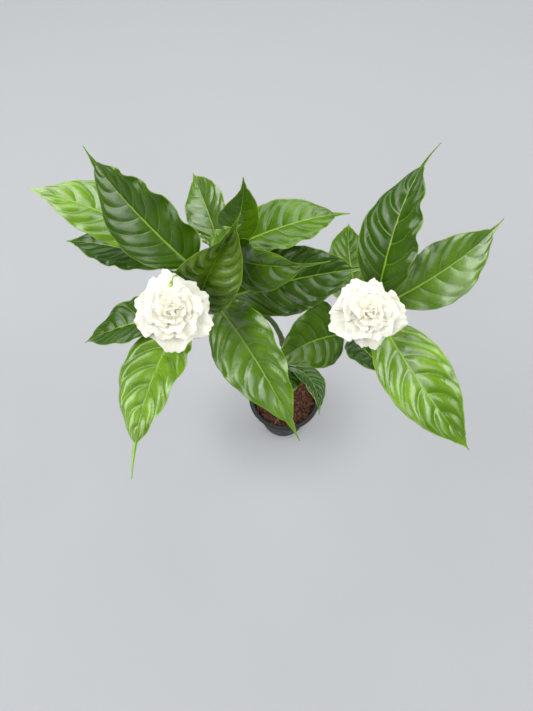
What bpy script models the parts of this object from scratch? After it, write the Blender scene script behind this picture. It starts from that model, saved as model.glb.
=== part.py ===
"""A potted crape jasmine with two double white flowers, in a small tapered nursery pot.

Lengths in the constants and tables are in millimetres and angles in degrees. The origin is the
middle of the pot's base, +Z is up, and the side that is usually looked at faces -Y.
"""
import math
from collections import namedtuple

import bmesh
import bpy
import numpy as np
from mathutils import Vector

MM = 0.001
GAP = 0.3

# Pot
POT_HEIGHT = 65.0
POT_RIM_RADIUS = 40.5
POT_BASE_RADIUS = 26.0
POT_WALL = 1.2
POT_COLLAR_HEIGHT = 9.0
POT_COLLAR_STEP = 1.0
POT_LIP_OUT = 4.0
POT_LIP_HEIGHT = 2.2
POT_SIDES = 48
DRAIN_HOLES = 6
DRAIN_HOLE_RADIUS = 3.5
DRAIN_CIRCLE_RADIUS = 19.0
POT_FOOT_BEVEL = 1.5
POT_EDGE = 0.5

# Soil
SOIL_TOP = 55.0
SOIL_CROWN = 1.8
SOIL_SIDES = 36
STEM_SOCKET_GAP = 1.1
CUTTER_OVERRUN = 3.0

# Woody stems: the points that each one passes through, and its radius at the first and the last of them
STEM_STEPS = 3
STEM_FORK = (-5, 5, 186)
LEFT_FORK = (-61, -19, 296)
STEMS = {
    "main_stem": (
        [(0, 0, 34), (0.5, 0, 60), (-1, 1, 100), (-1, 1, 140), (-3, 4, 170), STEM_FORK],
        3.4, 2.7,
    ),
    "left_branch": (
        [(-5.2, 5.1, 186.8), (-9, 6.6, 203), (-18, 7, 225), (-38, 2, 256), (-54, -9, 280), LEFT_FORK,
         (-64, -22, 314), (-64, -21, 333)],
        2.3, 1.5,
    ),
    "left_front_twig": (
        [(-63.2, -21.8, 297.5), (-69, -28.5, 301), (-75, -35, 306), (-76.5, -39, 313)],
        1.4, 1.3,
    ),
    "left_back_twig": (
        [(-63.2, -17.2, 301), (-69, -9.5, 306), (-80, 2, 311), (-86, 8.5, 314.5)],
        1.4, 1.2,
    ),
    "centre_branch": (
        [(-52.9, -6.1, 281), (-53, -1, 287), (-54, 4, 302), (-53, 6.5, 328)],
        1.6, 1.3,
    ),
    "right_branch": (
        [(-0.3, 3.4, 181.5), (3, 2, 186), (8, -1, 202), (22, -11, 228), (46, -29, 262), (54, -31, 286),
         (57, -33, 310)],
        2.2, 1.4,
    ),
}

# Places on the stems where leaves grow, and how far a leaf's foot stands off the stem's middle line
NODES = {
    "stem_low": ((-1, 1, 142), 3.7),
    "left_low": (LEFT_FORK, 2.5),
    "left_tip": ((-64, -21, 331), 2.5),
    "left_front": ((-75, -35, 305), 2.1),
    "left_upper": ((-71, -30.5, 304), 2.1),
    "left_mid": ((-76, -39, 312), 2.0),
    "left_back": ((-87, 10, 315), 1.9),
    "left_low_back": ((-80, 2.5, 307.5), 2.4),
    "centre_low": ((-58, -14, 288), 2.5),
    "centre_tip": ((-53, 6, 321), 2.1),
    "centre_top": ((-53, 7, 326), 2.0),
    "right_mid": ((47, -29, 263), 3.2),
    "right_low": ((54, -31, 286), 2.2),
    "right_tip": ((57, -33, 308), 2.6),
}

# A leaf's midrib leaves its node at a heading and a rise above level. Along its length the rise falls by
# droop and the heading swings. The blade is rolled about the midrib by roll, by twist more at its tip, and
# each half is folded up from flat by fold. The drip tip is a share of the length.
Leaf = namedtuple("Leaf", "name node heading rise droop swing length width roll twist fold drip")
LEAVES = (
    Leaf("left_leaf_1", "left_tip", 154, 39, 24, -29, 113, 52, -40, -27, 15, 0.14),
    Leaf("left_leaf_2", "left_back", 159, 32, 32, 7, 113, 46, -2, -12, 15, 0.10),
    Leaf("left_leaf_3", "left_low_back", 161, 8, 28, 1, 103, 42, -6, 5, 15, 0.10),
    Leaf("left_leaf_4", "left_mid", -169, 1, 42, -9, 84, 42, 7, 6, 15, 0.10),
    Leaf("left_leaf_5", "left_front", -115, 17, 51, 19, 124, 49, 8, 19, 15, 0.20),
    Leaf("left_leaf_6", "left_low", -61, 34, 84, 5, 131, 51, 29, 15, 18, 0.14),
    Leaf("left_leaf_7", "left_upper", -25, 81, 24, 59, 100, 50, 52, 38, 30, 0.12),
    Leaf("left_leaf_8", "left_tip", 17, 69, 21, -2, 50, 29, -10, -12, 15, 0.10),
    Leaf("centre_leaf_1", "centre_top", 6, 58, -33, 34, 64, 29, 37, 40, 15, 0.14),
    Leaf("centre_leaf_2", "centre_tip", 17, 23, 48, 9, 104, 44, 4, 0, 15, 0.16),
    Leaf("centre_leaf_3", "centre_tip", -59, 35, 18, 61, 94, 41, 61, 29, 15, 0.20),
    Leaf("centre_leaf_4", "centre_low", 4, 27, 41, 12, 125, 53, 26, 11, 15, 0.18),
    Leaf("centre_leaf_5", "centre_tip", 110, 24, 39, -2, 75, 35, -24, -20, 15, 0.12),
    Leaf("right_leaf_1", "right_tip", 87, 81, 85, -37, 127, 48, -22, -30, 15, 0.20),
    Leaf("right_leaf_2", "right_tip", 18, 19, 11, 29, 112, 47, 29, 19, 18, 0.14),
    Leaf("right_leaf_3", "right_mid", -156, 40, 32, 24, 85, 45, -20, -15, 15, 0.10),
    Leaf("right_leaf_4", "right_mid", -76, 36, 2, 9, 71, 36, -5, -2, 15, 0.12),
    Leaf("right_leaf_5", "right_low", 109, 19, 31, -29, 89, 40, 8, -6, 20, 0.08),
    Leaf("right_leaf_6", "right_tip", -78, 13, 55, 43, 121, 48, 7, 12, 15, 0.09),
    Leaf("stem_leaf_1", "stem_low", -32, 53, 79, -62, 73, 29, -23, -10, 15, 0.12),
    Leaf("stem_leaf_2", "stem_low", -88, 48, 39, -25, 55, 31, -4, -1, 15, 0.10),
)
LEAF_THICKNESS = 0.6
LEAF_STALK_SHARE = 0.08
LEAF_STALK_HALF_WIDTH = 1.1
LEAF_TIP_SHARE = 0.3
LEAF_OVAL_SKEW = 0.88
LEAF_OVAL_FULLNESS = 0.8
LEAF_ROWS = 10
LEAF_COLUMNS = 4
MIDRIB_STEPS = 240

# Flowers: the middle of the face, the way it faces, and the points that its stalk follows up to it
Flower = namedtuple("Flower", "name middle facing turn stalk")
FLOWERS = (
    Flower(
        "left_flower", (-78, -63, 349), (0.05, -0.38, 0.92), 54,
        [(-76.8, -40.2, 315), (-78.5, -46, 320), (-79, -52, 327)],
    ),
    Flower(
        "right_flower", (44, -57, 337), (0.0, -0.36, 0.93), 50,
        [(56.4, -35.2, 311), (51, -41, 314), (45.5, -47, 317)],
    ),
)
FLOWER_RADIUS = 24.0
PETALS_PER_RING = 5
PETAL_ROWS = 5
PETAL_COLUMNS = 4
PETAL_THICKNESS = 0.5
PETAL_START = 2.4
PETAL_FOOT_HALF_ANGLE = 20
PETAL_EXTRA_HALF_ANGLE = 22
PETAL_ARCH = 2.6
PETAL_SHINGLE = 1.1
INNER_RING_RADIUS = 16.5
INNER_RING_LIFT = 3.6
TUBE_RADIUS = 1.7
TUBE_LENGTH = 17.0
CALYX_RADIUS = 2.3
CALYX_LENGTH = 4.0
STALK_RADIUS = 0.9
HEART_RINGS = 7
HEART_SIDES = 20
HEART_LOBES = 5
HEART_RIPPLE = 0.09
HEART_RADIUS = 8.5
HEART_FLOOR = 7.8
HEART_DISH = 1.6
HEART_HEIGHT = 8.0

# Buds: the points that each one's stalk follows up to the bud's own foot, and the bud's length
Bud = namedtuple("Bud", "name stalk length")
BUDS = (
    Bud("centre_bud_1", [(-55.6, 5.6, 324.5), (-60, 5.4, 331.5), (-64.8, 6.3, 336.3)], 5),
    Bud("centre_bud_2", [(-55.2, 4.4, 321.5), (-58.5, 3.6, 328.5), (-62.4, 3.6, 334)], 4.5),
    Bud(
        "left_bud_1",
        [(-75.3, -37.4, 315), (-74.5, -37, 327), (-74.8, -37.6, 343), (-76, -40.6, 356.5), (-77, -46, 364),
         (-77.4, -51.4, 366.3)],
        5.5,
    ),
)
BUD_STALK_RADIUS = 0.55
BUD_RADIUS = 1.3

# Shape of a bud: shares of its length, and of its radius there
BUD_OUTLINE = ((0.12, 0.55), (0.2, 0.5), (0.5, 1.0), (0.78, 0.85), (1.0, 0.2))


def clear_scene():
    """Removes every object from the scene."""
    for item in list(bpy.data.objects):
        bpy.data.objects.remove(item, do_unlink=True)


def make_material(name, colour, roughness):
    """One plain finish."""
    material = bpy.data.materials.new(name)
    material.use_nodes = True
    shader = material.node_tree.nodes["Principled BSDF"]
    shader.inputs["Base Color"].default_value = (*colour, 1.0)
    shader.inputs["Roughness"].default_value = roughness
    shader.inputs["Metallic"].default_value = 0.0
    return material


def add_mesh(name, vertices, faces, material):
    """A mesh object from points in millimetres, with round sides shaded smooth."""
    mesh = bpy.data.meshes.new(name)
    mesh.from_pydata([Vector(point) * MM for point in vertices], [], faces)
    mesh.materials.append(material)
    mesh.shade_smooth()
    item = bpy.data.objects.new(name, mesh)
    bpy.context.scene.collection.objects.link(item)
    return item


def turned(name, profile, sides, material):
    """A solid turned about Z from a profile of (radius, height) that starts and ends on the axis."""
    build = bmesh.new()
    points = [build.verts.new((radius * MM, 0.0, height * MM)) for radius, height in profile]
    edges = [build.edges.new(pair) for pair in zip(points, points[1:])]
    bmesh.ops.spin(build, geom=points + edges, cent=(0, 0, 0), axis=(0, 0, 1), angle=math.tau, steps=sides)
    bmesh.ops.remove_doubles(build, verts=build.verts, dist=0.00001)
    bmesh.ops.recalc_face_normals(build, faces=build.faces)
    mesh = bpy.data.meshes.new(name)
    build.to_mesh(mesh)
    build.free()
    mesh.materials.append(material)
    mesh.shade_smooth()
    mesh.set_sharp_from_angle(angle=math.radians(35))
    item = bpy.data.objects.new(name, mesh)
    bpy.context.scene.collection.objects.link(item)
    return item


def cut(item, cutter):
    """Takes the cutter's shape out of the item and keeps the cutter as a guide."""
    cutter.hide_render = True
    cutter.display_type = "WIRE"
    cutter.hide_set(True)
    step = item.modifiers.new("cut_" + cutter.name, "BOOLEAN")
    step.operation = "DIFFERENCE"
    step.solver = "EXACT"
    step.object = cutter


def rod(name, points, radii, resolution, material):
    """A round rod along points, with a radius at each one, as a bevelled curve with closed ends."""
    curve = bpy.data.curves.new(name, "CURVE")
    curve.dimensions = "3D"
    curve.bevel_depth = MM
    curve.bevel_resolution = resolution
    curve.use_fill_caps = True
    spline = curve.splines.new("POLY")
    spline.points.add(len(points) - 1)
    for knot, place, radius in zip(spline.points, points, radii):
        knot.co = (*(Vector(place) * MM), 1.0)
        knot.radius = radius
    spline.use_smooth = True
    curve.materials.append(material)
    item = bpy.data.objects.new(name, curve)
    bpy.context.scene.collection.objects.link(item)
    return item


def smooth_path(points, steps):
    """Points along the smooth curve that passes through the given points, a few to each stretch."""
    knots = [2 * Vector(points[0]) - Vector(points[1]), *map(Vector, points)]
    knots.append(2 * knots[-1] - knots[-2])
    path = [knots[1]]
    for before, start, end, after in zip(knots, knots[1:], knots[2:], knots[3:]):
        for step in range(1, steps + 1):
            t = step / steps
            square = (2 * before - 5 * start + 4 * end - after) * t ** 2
            cube = (3 * start - before - 3 * end + after) * t ** 3
            path.append(start + ((end - before) * t + square + cube) / 2)
    return path


def add_pot(material):
    """The thin tapered pot: flat base, stepped collar, turned-out lip, and drain holes around the base."""
    rim = POT_RIM_RADIUS - POT_LIP_OUT
    collar_foot = POT_HEIGHT - POT_COLLAR_HEIGHT
    under_collar = rim - POT_COLLAR_STEP
    profile = [
        (0, 0),
        (POT_BASE_RADIUS - POT_FOOT_BEVEL, 0),
        (POT_BASE_RADIUS, POT_FOOT_BEVEL),
        (under_collar, collar_foot),
        (rim, collar_foot + POT_COLLAR_STEP),
        (rim, POT_HEIGHT - POT_LIP_HEIGHT),
        (POT_RIM_RADIUS, POT_HEIGHT - POT_LIP_HEIGHT + POT_EDGE),
        (POT_RIM_RADIUS, POT_HEIGHT - POT_EDGE),
        (POT_RIM_RADIUS - POT_EDGE, POT_HEIGHT),
        (rim - POT_WALL + POT_EDGE, POT_HEIGHT),
        (rim - POT_WALL, POT_HEIGHT - POT_EDGE),
        (rim - POT_WALL, collar_foot + POT_COLLAR_STEP),
        (under_collar - POT_WALL, collar_foot),
        (POT_BASE_RADIUS - POT_WALL, POT_FOOT_BEVEL + POT_WALL),
        (POT_BASE_RADIUS - POT_WALL - POT_FOOT_BEVEL, POT_WALL),
        (0, POT_WALL),
    ]
    pot = turned("pot", profile, POT_SIDES, material)
    outline = [
        (0, -CUTTER_OVERRUN),
        (DRAIN_HOLE_RADIUS, -CUTTER_OVERRUN),
        (DRAIN_HOLE_RADIUS, POT_WALL + CUTTER_OVERRUN),
        (0, POT_WALL + CUTTER_OVERRUN),
    ]
    for index in range(DRAIN_HOLES):
        angle = math.tau * index / DRAIN_HOLES
        hole = turned(f"drain_cutter_{index + 1}", outline, 16, material)
        hole.location = Vector((math.cos(angle), math.sin(angle), 0)) * DRAIN_CIRCLE_RADIUS * MM
        cut(pot, hole)


def add_soil(material):
    """The block of potting mix, a gap inside the pot all round, with a socket for the foot of the stem."""
    collar_foot = POT_HEIGHT - POT_COLLAR_HEIGHT
    under_collar = POT_RIM_RADIUS - POT_LIP_OUT - POT_COLLAR_STEP
    wall_slope = (under_collar - POT_BASE_RADIUS) / (collar_foot - POT_FOOT_BEVEL)
    inside = POT_WALL + GAP
    wall_radius = POT_BASE_RADIUS - inside - wall_slope * POT_FOOT_BEVEL
    foot = inside + POT_FOOT_BEVEL + GAP
    profile = [
        (0, inside),
        (POT_BASE_RADIUS - inside - POT_FOOT_BEVEL - GAP, inside),
        (wall_radius + wall_slope * foot - GAP, foot),
        (wall_radius + wall_slope * SOIL_TOP, SOIL_TOP),
        (wall_radius * 0.9, SOIL_TOP + SOIL_CROWN * 0.5),
        (wall_radius * 0.45, SOIL_TOP + SOIL_CROWN * 0.9),
        (0, SOIL_TOP + SOIL_CROWN),
    ]
    soil = turned("soil", profile, SOIL_SIDES, material)
    stem_points, stem_radius, _ = STEMS["main_stem"]
    floor = stem_points[0][2] - GAP
    radius = stem_radius + STEM_SOCKET_GAP
    mouth = SOIL_TOP + SOIL_CROWN + CUTTER_OVERRUN
    socket = turned("socket_cutter", [(0, floor), (radius, floor), (radius, mouth), (0, mouth)], 20, material)
    cut(soil, socket)


def add_stems(material):
    """The main stem, its branches and their twigs, each thinner towards its end."""
    for name, (points, first_radius, last_radius) in STEMS.items():
        path = smooth_path(points, STEM_STEPS)
        radii = np.linspace(first_radius, last_radius, len(path))
        rod(name, path, radii, 2, material)


def midrib(leaf, rows):
    """Share of the length, points, leftward and upward directions at even steps along a leaf's midrib."""
    fine = (np.arange(MIDRIB_STEPS) + 0.5) / MIDRIB_STEPS
    track = np.cumsum(pointing(leaf, fine)[0] * leaf.length / MIDRIB_STEPS, axis=0)
    track = np.vstack([np.zeros(3), track])
    share = np.linspace(0, 1, rows + 1)
    even = np.linspace(0, 1, MIDRIB_STEPS + 1)
    middle, stand_off = NODES[leaf.node]
    away = math.radians(leaf.heading)
    foot = np.array(middle) + stand_off * np.array([math.cos(away), math.sin(away), 0.0])
    points = foot + np.stack([np.interp(share, even, track[:, axis]) for axis in range(3)], axis=1)
    ahead, side = pointing(leaf, share)
    top = np.cross(ahead, side)
    roll = np.radians(leaf.roll + leaf.twist * share)[:, None]
    left = np.cos(roll) * side + np.sin(roll) * top
    up = np.cos(roll) * top - np.sin(roll) * side
    return share, points, left, up


def pointing(leaf, share):
    """The midrib's forward and level sideways directions at shares of its length."""
    rise = np.radians(leaf.rise - leaf.droop * share)
    heading = np.radians(leaf.heading + leaf.swing * share)
    ahead = np.stack([np.cos(rise) * np.cos(heading), np.cos(rise) * np.sin(heading), np.sin(rise)], axis=1)
    side = np.stack([-np.sin(heading), np.cos(heading), np.zeros(len(share))], axis=1)
    return ahead, side


def leaf_half_width(leaf, share):
    """Half the blade's width: a narrow stalk, a long oval and a thin drip tip."""
    along = np.clip((share - LEAF_STALK_SHARE) / (1 - leaf.drip - LEAF_STALK_SHARE), 0, 1)
    oval = np.sin(np.pi * along ** LEAF_OVAL_SKEW) ** LEAF_OVAL_FULLNESS
    stalk = LEAF_STALK_HALF_WIDTH * np.clip((1 - share) / leaf.drip + LEAF_TIP_SHARE, 0, 1)
    return stalk + (leaf.width / 2 - LEAF_STALK_HALF_WIDTH) * oval


def grid_faces(rows, columns):
    """Quads of a grid of points with the given numbers of cells."""
    stride = columns + 1
    corners = [(row * stride + column) for row in range(rows) for column in range(columns)]
    return [(first, first + stride, first + stride + 1, first + 1) for first in corners]


def thicken(item, thickness):
    """Gives an open surface a wall, half to each side."""
    wall = item.modifiers.new("wall", "SOLIDIFY")
    wall.thickness = thickness * MM
    wall.offset = 0.0
    wall.use_even_offset = False


def add_leaf(leaf, material):
    """One leaf, stalk and blade together, as a thin folded surface with a wall."""
    share, points, left, top = midrib(leaf, LEAF_ROWS)
    across = np.linspace(-1, 1, LEAF_COLUMNS + 1)
    reach = across[None, :] * leaf_half_width(leaf, share)[:, None]
    fold = math.radians(leaf.fold)
    surface = (
        points[:, None, :]
        + (reach * math.cos(fold))[..., None] * left[:, None, :]
        + (np.abs(reach) * math.sin(fold))[..., None] * top[:, None, :]
    )
    item = add_mesh(leaf.name, surface.reshape(-1, 3), grid_faces(LEAF_ROWS, LEAF_COLUMNS), material)
    thicken(item, LEAF_THICKNESS)


def flower_axes(flower):
    """Sideways, upward-in-the-face and facing directions of a flower."""
    facing = Vector(flower.facing).normalized()
    side = Vector((1, 0, 0)).cross(facing).cross(facing).normalized() * -1
    return side, facing.cross(side), facing


def on_flower(flower, spots):
    """World points for (radius, angle, height) spots measured in a flower's own face."""
    side, over, facing = (np.array(axis) for axis in flower_axes(flower))
    radius, angle, height = (np.asarray(part)[..., None] for part in spots)
    return np.array(flower.middle) + radius * (np.cos(angle) * side + np.sin(angle) * over) + height * facing


def add_petal(flower, name, middle_angle, reach, lift, material):
    """One petal: a fan in the flower's face, one edge above its neighbour and the other below."""
    out = np.linspace(0, 1, PETAL_ROWS + 1)[:, None]
    across = np.linspace(-1, 1, PETAL_COLUMNS + 1)[None, :]
    radius = PETAL_START + (reach - PETAL_START) * out * (1 - 0.1 * across ** 2)
    widening = np.sin(np.pi / 2 * np.clip(out * 1.8, 0, 1))
    half_angle = np.radians(PETAL_FOOT_HALF_ANGLE + PETAL_EXTRA_HALF_ANGLE * widening)
    full_half_angle = math.radians(PETAL_FOOT_HALF_ANGLE + PETAL_EXTRA_HALF_ANGLE)
    arch = PETAL_ARCH * np.sin(np.pi * out * 0.75)
    shingle = PETAL_SHINGLE * across * half_angle / full_half_angle
    surface = on_flower(flower, (radius, middle_angle + half_angle * across, lift + arch + shingle))
    item = add_mesh(name, surface.reshape(-1, 3), grid_faces(PETAL_ROWS, PETAL_COLUMNS), material)
    thicken(item, PETAL_THICKNESS)


def add_heart(flower, material):
    """The crowded small petals at the middle of the flower, as one lobed mound over a shallow dish."""
    turn = np.linspace(0, math.tau, HEART_SIDES, endpoint=False)[None, :]
    lobes = np.sin(HEART_LOBES * turn)
    out = np.linspace(0, 1, HEART_RINGS)[1:, None]
    back = np.linspace(1, 0, HEART_RINGS)[1:-1, None]
    share = np.concatenate([out, back])
    dish = HEART_FLOOR + HEART_DISH * out ** 2
    dome = HEART_FLOOR + HEART_DISH + (HEART_HEIGHT - HEART_DISH) * np.cos(back * np.pi / 2)
    radius = HEART_RADIUS * np.sin(share * np.pi / 2) * (1 + HEART_RIPPLE * lobes * share)
    height = np.concatenate([dish, dome])
    rings = on_flower(flower, (radius, turn + 0 * share, height + 0 * turn))
    foot = on_flower(flower, ([0.0], [0.0], [HEART_FLOOR]))
    peak = on_flower(flower, ([0.0], [0.0], [HEART_FLOOR + HEART_HEIGHT]))
    vertices = np.concatenate([rings.reshape(-1, 3), foot, peak])
    count = len(rings)
    faces = []
    for spot in range(HEART_SIDES):
        after = (spot + 1) % HEART_SIDES
        for low in range(0, (count - 1) * HEART_SIDES, HEART_SIDES):
            high = low + HEART_SIDES
            faces.append((low + spot, low + after, high + after, high + spot))
        last = (count - 1) * HEART_SIDES
        faces.append((count * HEART_SIDES, after, spot))
        faces.append((count * HEART_SIDES + 1, last + spot, last + after))
    add_mesh(flower.name + "_heart", vertices, faces, material)


def add_flower(flower, stalk_material, petal_material):
    """A double flower: stalk, calyx and tube in one piece, two rings of five petals, and the heart."""
    facing = flower_axes(flower)[2]
    middle = Vector(flower.middle)
    throat = middle + facing * (HEART_FLOOR - 2 * GAP)
    tube_foot = middle - facing * TUBE_LENGTH
    bend = smooth_path([*flower.stalk, tube_foot], 2)
    calyx = [tube_foot + facing * CALYX_LENGTH / 2, tube_foot + facing * CALYX_LENGTH]
    path = [*bend, *calyx, middle - facing * PETAL_START, throat]
    radii = [STALK_RADIUS] * len(bend) + [CALYX_RADIUS, TUBE_RADIUS, TUBE_RADIUS, TUBE_RADIUS]
    rod(flower.name + "_stalk", path, radii, 1, stalk_material)
    rings = (("outer", FLOWER_RADIUS, 0.0, 0.0), ("inner", INNER_RING_RADIUS, INNER_RING_LIFT, 0.5))
    for ring, reach, lift, shift in rings:
        for index in range(PETALS_PER_RING):
            angle = math.radians(flower.turn) + math.tau * (index + shift) / PETALS_PER_RING
            add_petal(flower, f"{flower.name}_{ring}_petal_{index + 1}", angle, reach, lift, petal_material)
    add_heart(flower, petal_material)


def add_bud(bud, material):
    """A closed flower bud: thin stalk, small calyx and a pointed bud, in one piece."""
    stalk = smooth_path(bud.stalk, 3)
    ahead = (stalk[-1] - stalk[-2]).normalized()
    path = stalk + [stalk[-1] + ahead * bud.length * share for share, _ in BUD_OUTLINE]
    radii = [BUD_STALK_RADIUS] * len(stalk) + [BUD_RADIUS * width for _, width in BUD_OUTLINE]
    rod(bud.name, path, radii, 1, material)


def main():
    clear_scene()
    pot_black = make_material("pot_black", (0.02, 0.02, 0.022), 0.55)
    soil_brown = make_material("soil_brown", (0.13, 0.05, 0.025), 0.95)
    stem_green = make_material("stem_green", (0.16, 0.2, 0.06), 0.6)
    leaf_green = make_material("leaf_green", (0.05, 0.17, 0.015), 0.35)
    petal_white = make_material("petal_white", (0.88, 0.87, 0.8), 0.5)
    bud_green = make_material("bud_green", (0.45, 0.62, 0.08), 0.45)
    add_pot(pot_black)
    add_soil(soil_brown)
    add_stems(stem_green)
    for leaf in LEAVES:
        add_leaf(leaf, leaf_green)
    for flower in FLOWERS:
        add_flower(flower, bud_green, petal_white)
    for bud in BUDS:
        add_bud(bud, bud_green)


main()
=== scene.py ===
"""Looks of a potted crape jasmine with two double white flowers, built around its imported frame.

Lengths in the tables are in millimetres and angles in degrees. Meshes are in metres, with the origin at
the middle of the pot's base, +Z up, and the side that is usually looked at facing -Y.
"""
import math
from collections import namedtuple

import bpy
import numpy as np
from bpy.props import FloatProperty, FloatVectorProperty, IntProperty, PointerProperty
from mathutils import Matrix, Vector


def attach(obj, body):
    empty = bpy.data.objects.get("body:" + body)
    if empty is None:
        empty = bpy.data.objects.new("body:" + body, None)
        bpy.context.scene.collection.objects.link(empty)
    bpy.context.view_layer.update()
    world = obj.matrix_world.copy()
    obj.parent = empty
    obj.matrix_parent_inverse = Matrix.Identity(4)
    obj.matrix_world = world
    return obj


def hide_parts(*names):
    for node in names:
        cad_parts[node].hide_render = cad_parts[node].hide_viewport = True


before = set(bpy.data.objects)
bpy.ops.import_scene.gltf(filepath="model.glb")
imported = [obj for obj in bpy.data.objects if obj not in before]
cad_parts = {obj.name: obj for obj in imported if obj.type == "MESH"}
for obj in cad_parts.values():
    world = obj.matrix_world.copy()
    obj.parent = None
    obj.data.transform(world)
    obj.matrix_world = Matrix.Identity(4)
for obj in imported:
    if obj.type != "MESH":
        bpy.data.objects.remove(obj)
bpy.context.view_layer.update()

bl_info = {
    "name": "Potted crape jasmine",
    "version": (1, 0, 0),
    "blender": (4, 5, 0),
    "location": "View3D > Sidebar > Jasmine",
    "description": "Builds the leaves, stems, flowers, buds, soil and pot of a small flowering shrub",
    "category": "Object",
}

MM = 0.001
TAU = math.tau

# Stems: the points that each one passes through, its radius at the first and the last, and how long its
# foot flares into the stem that carries it
STEM_FORK = (-5, 5, 186)
LEFT_FORK = (-61, -19, 296)
Stem = namedtuple("Stem", "name points first_radius last_radius flare")
STEMS = (
    Stem("main_stem", ((0, 0, 40), (0.5, 0, 60), (-1, 1, 100), (-1, 1, 140), (-3, 4, 170), (-5.4, 5.3, 189)),
         3.4, 2.6, 14),
    Stem("left_branch", ((-4.6, 4.6, 183), (-6.5, 5.6, 192), (-9.5, 6.7, 203), (-18, 7, 225), (-38, 2, 256),
                         (-54, -9, 280), LEFT_FORK, (-64, -22, 314), (-64, -21, 334)),
         2.5, 1.5, 7),
    Stem("left_front_twig", ((-61.6, -20.2, 296.6), (-64.5, -23.2, 298), (-69, -28.5, 301), (-75, -35, 306),
                             (-76.5, -39, 314)),
         1.5, 1.3, 4),
    Stem("left_back_twig", ((-62.6, -19.6, 300.4), (-64, -16.2, 301.6), (-69, -9.5, 306), (-80, 2, 311),
                            (-86.3, 8.8, 315)),
         1.5, 1.2, 4),
    Stem("centre_branch", ((-53.8, -8.6, 280), (-52.9, -5, 282), (-53, -1, 287), (-54, 4, 302),
                           (-53, 6.5, 328.5)),
         1.8, 1.3, 5),
    Stem("right_branch", ((-3.8, 4.3, 179.5), (0, 3.2, 182.2), (3, 2, 186.5), (8, -1, 202), (22, -11, 228),
                          (46, -29, 262), (54, -31, 286), (57, -33, 311)),
         2.4, 1.4, 7),
)

# Places on the stems where leaves grow, and how far a leaf's foot stands off the stem's middle line
NODES = {
    "stem_low": ((-1, 1, 142), 3.7),
    "left_low": (LEFT_FORK, 2.5),
    "left_tip": ((-64, -21, 331), 2.5),
    "left_front": ((-75, -35, 305), 2.1),
    "left_upper": ((-71, -30.5, 304), 2.1),
    "left_mid": ((-76, -39, 312), 2.0),
    "left_back": ((-87, 10, 315), 1.9),
    "left_low_back": ((-80, 2.5, 307.5), 2.4),
    "centre_low": ((-58, -14, 288), 2.5),
    "centre_tip": ((-53, 6, 321), 2.1),
    "centre_top": ((-53, 7, 326), 2.0),
    "right_mid": ((47, -29, 263), 3.2),
    "right_low": ((54, -31, 286), 2.2),
    "right_tip": ((57, -33, 308), 2.6),
}

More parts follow.
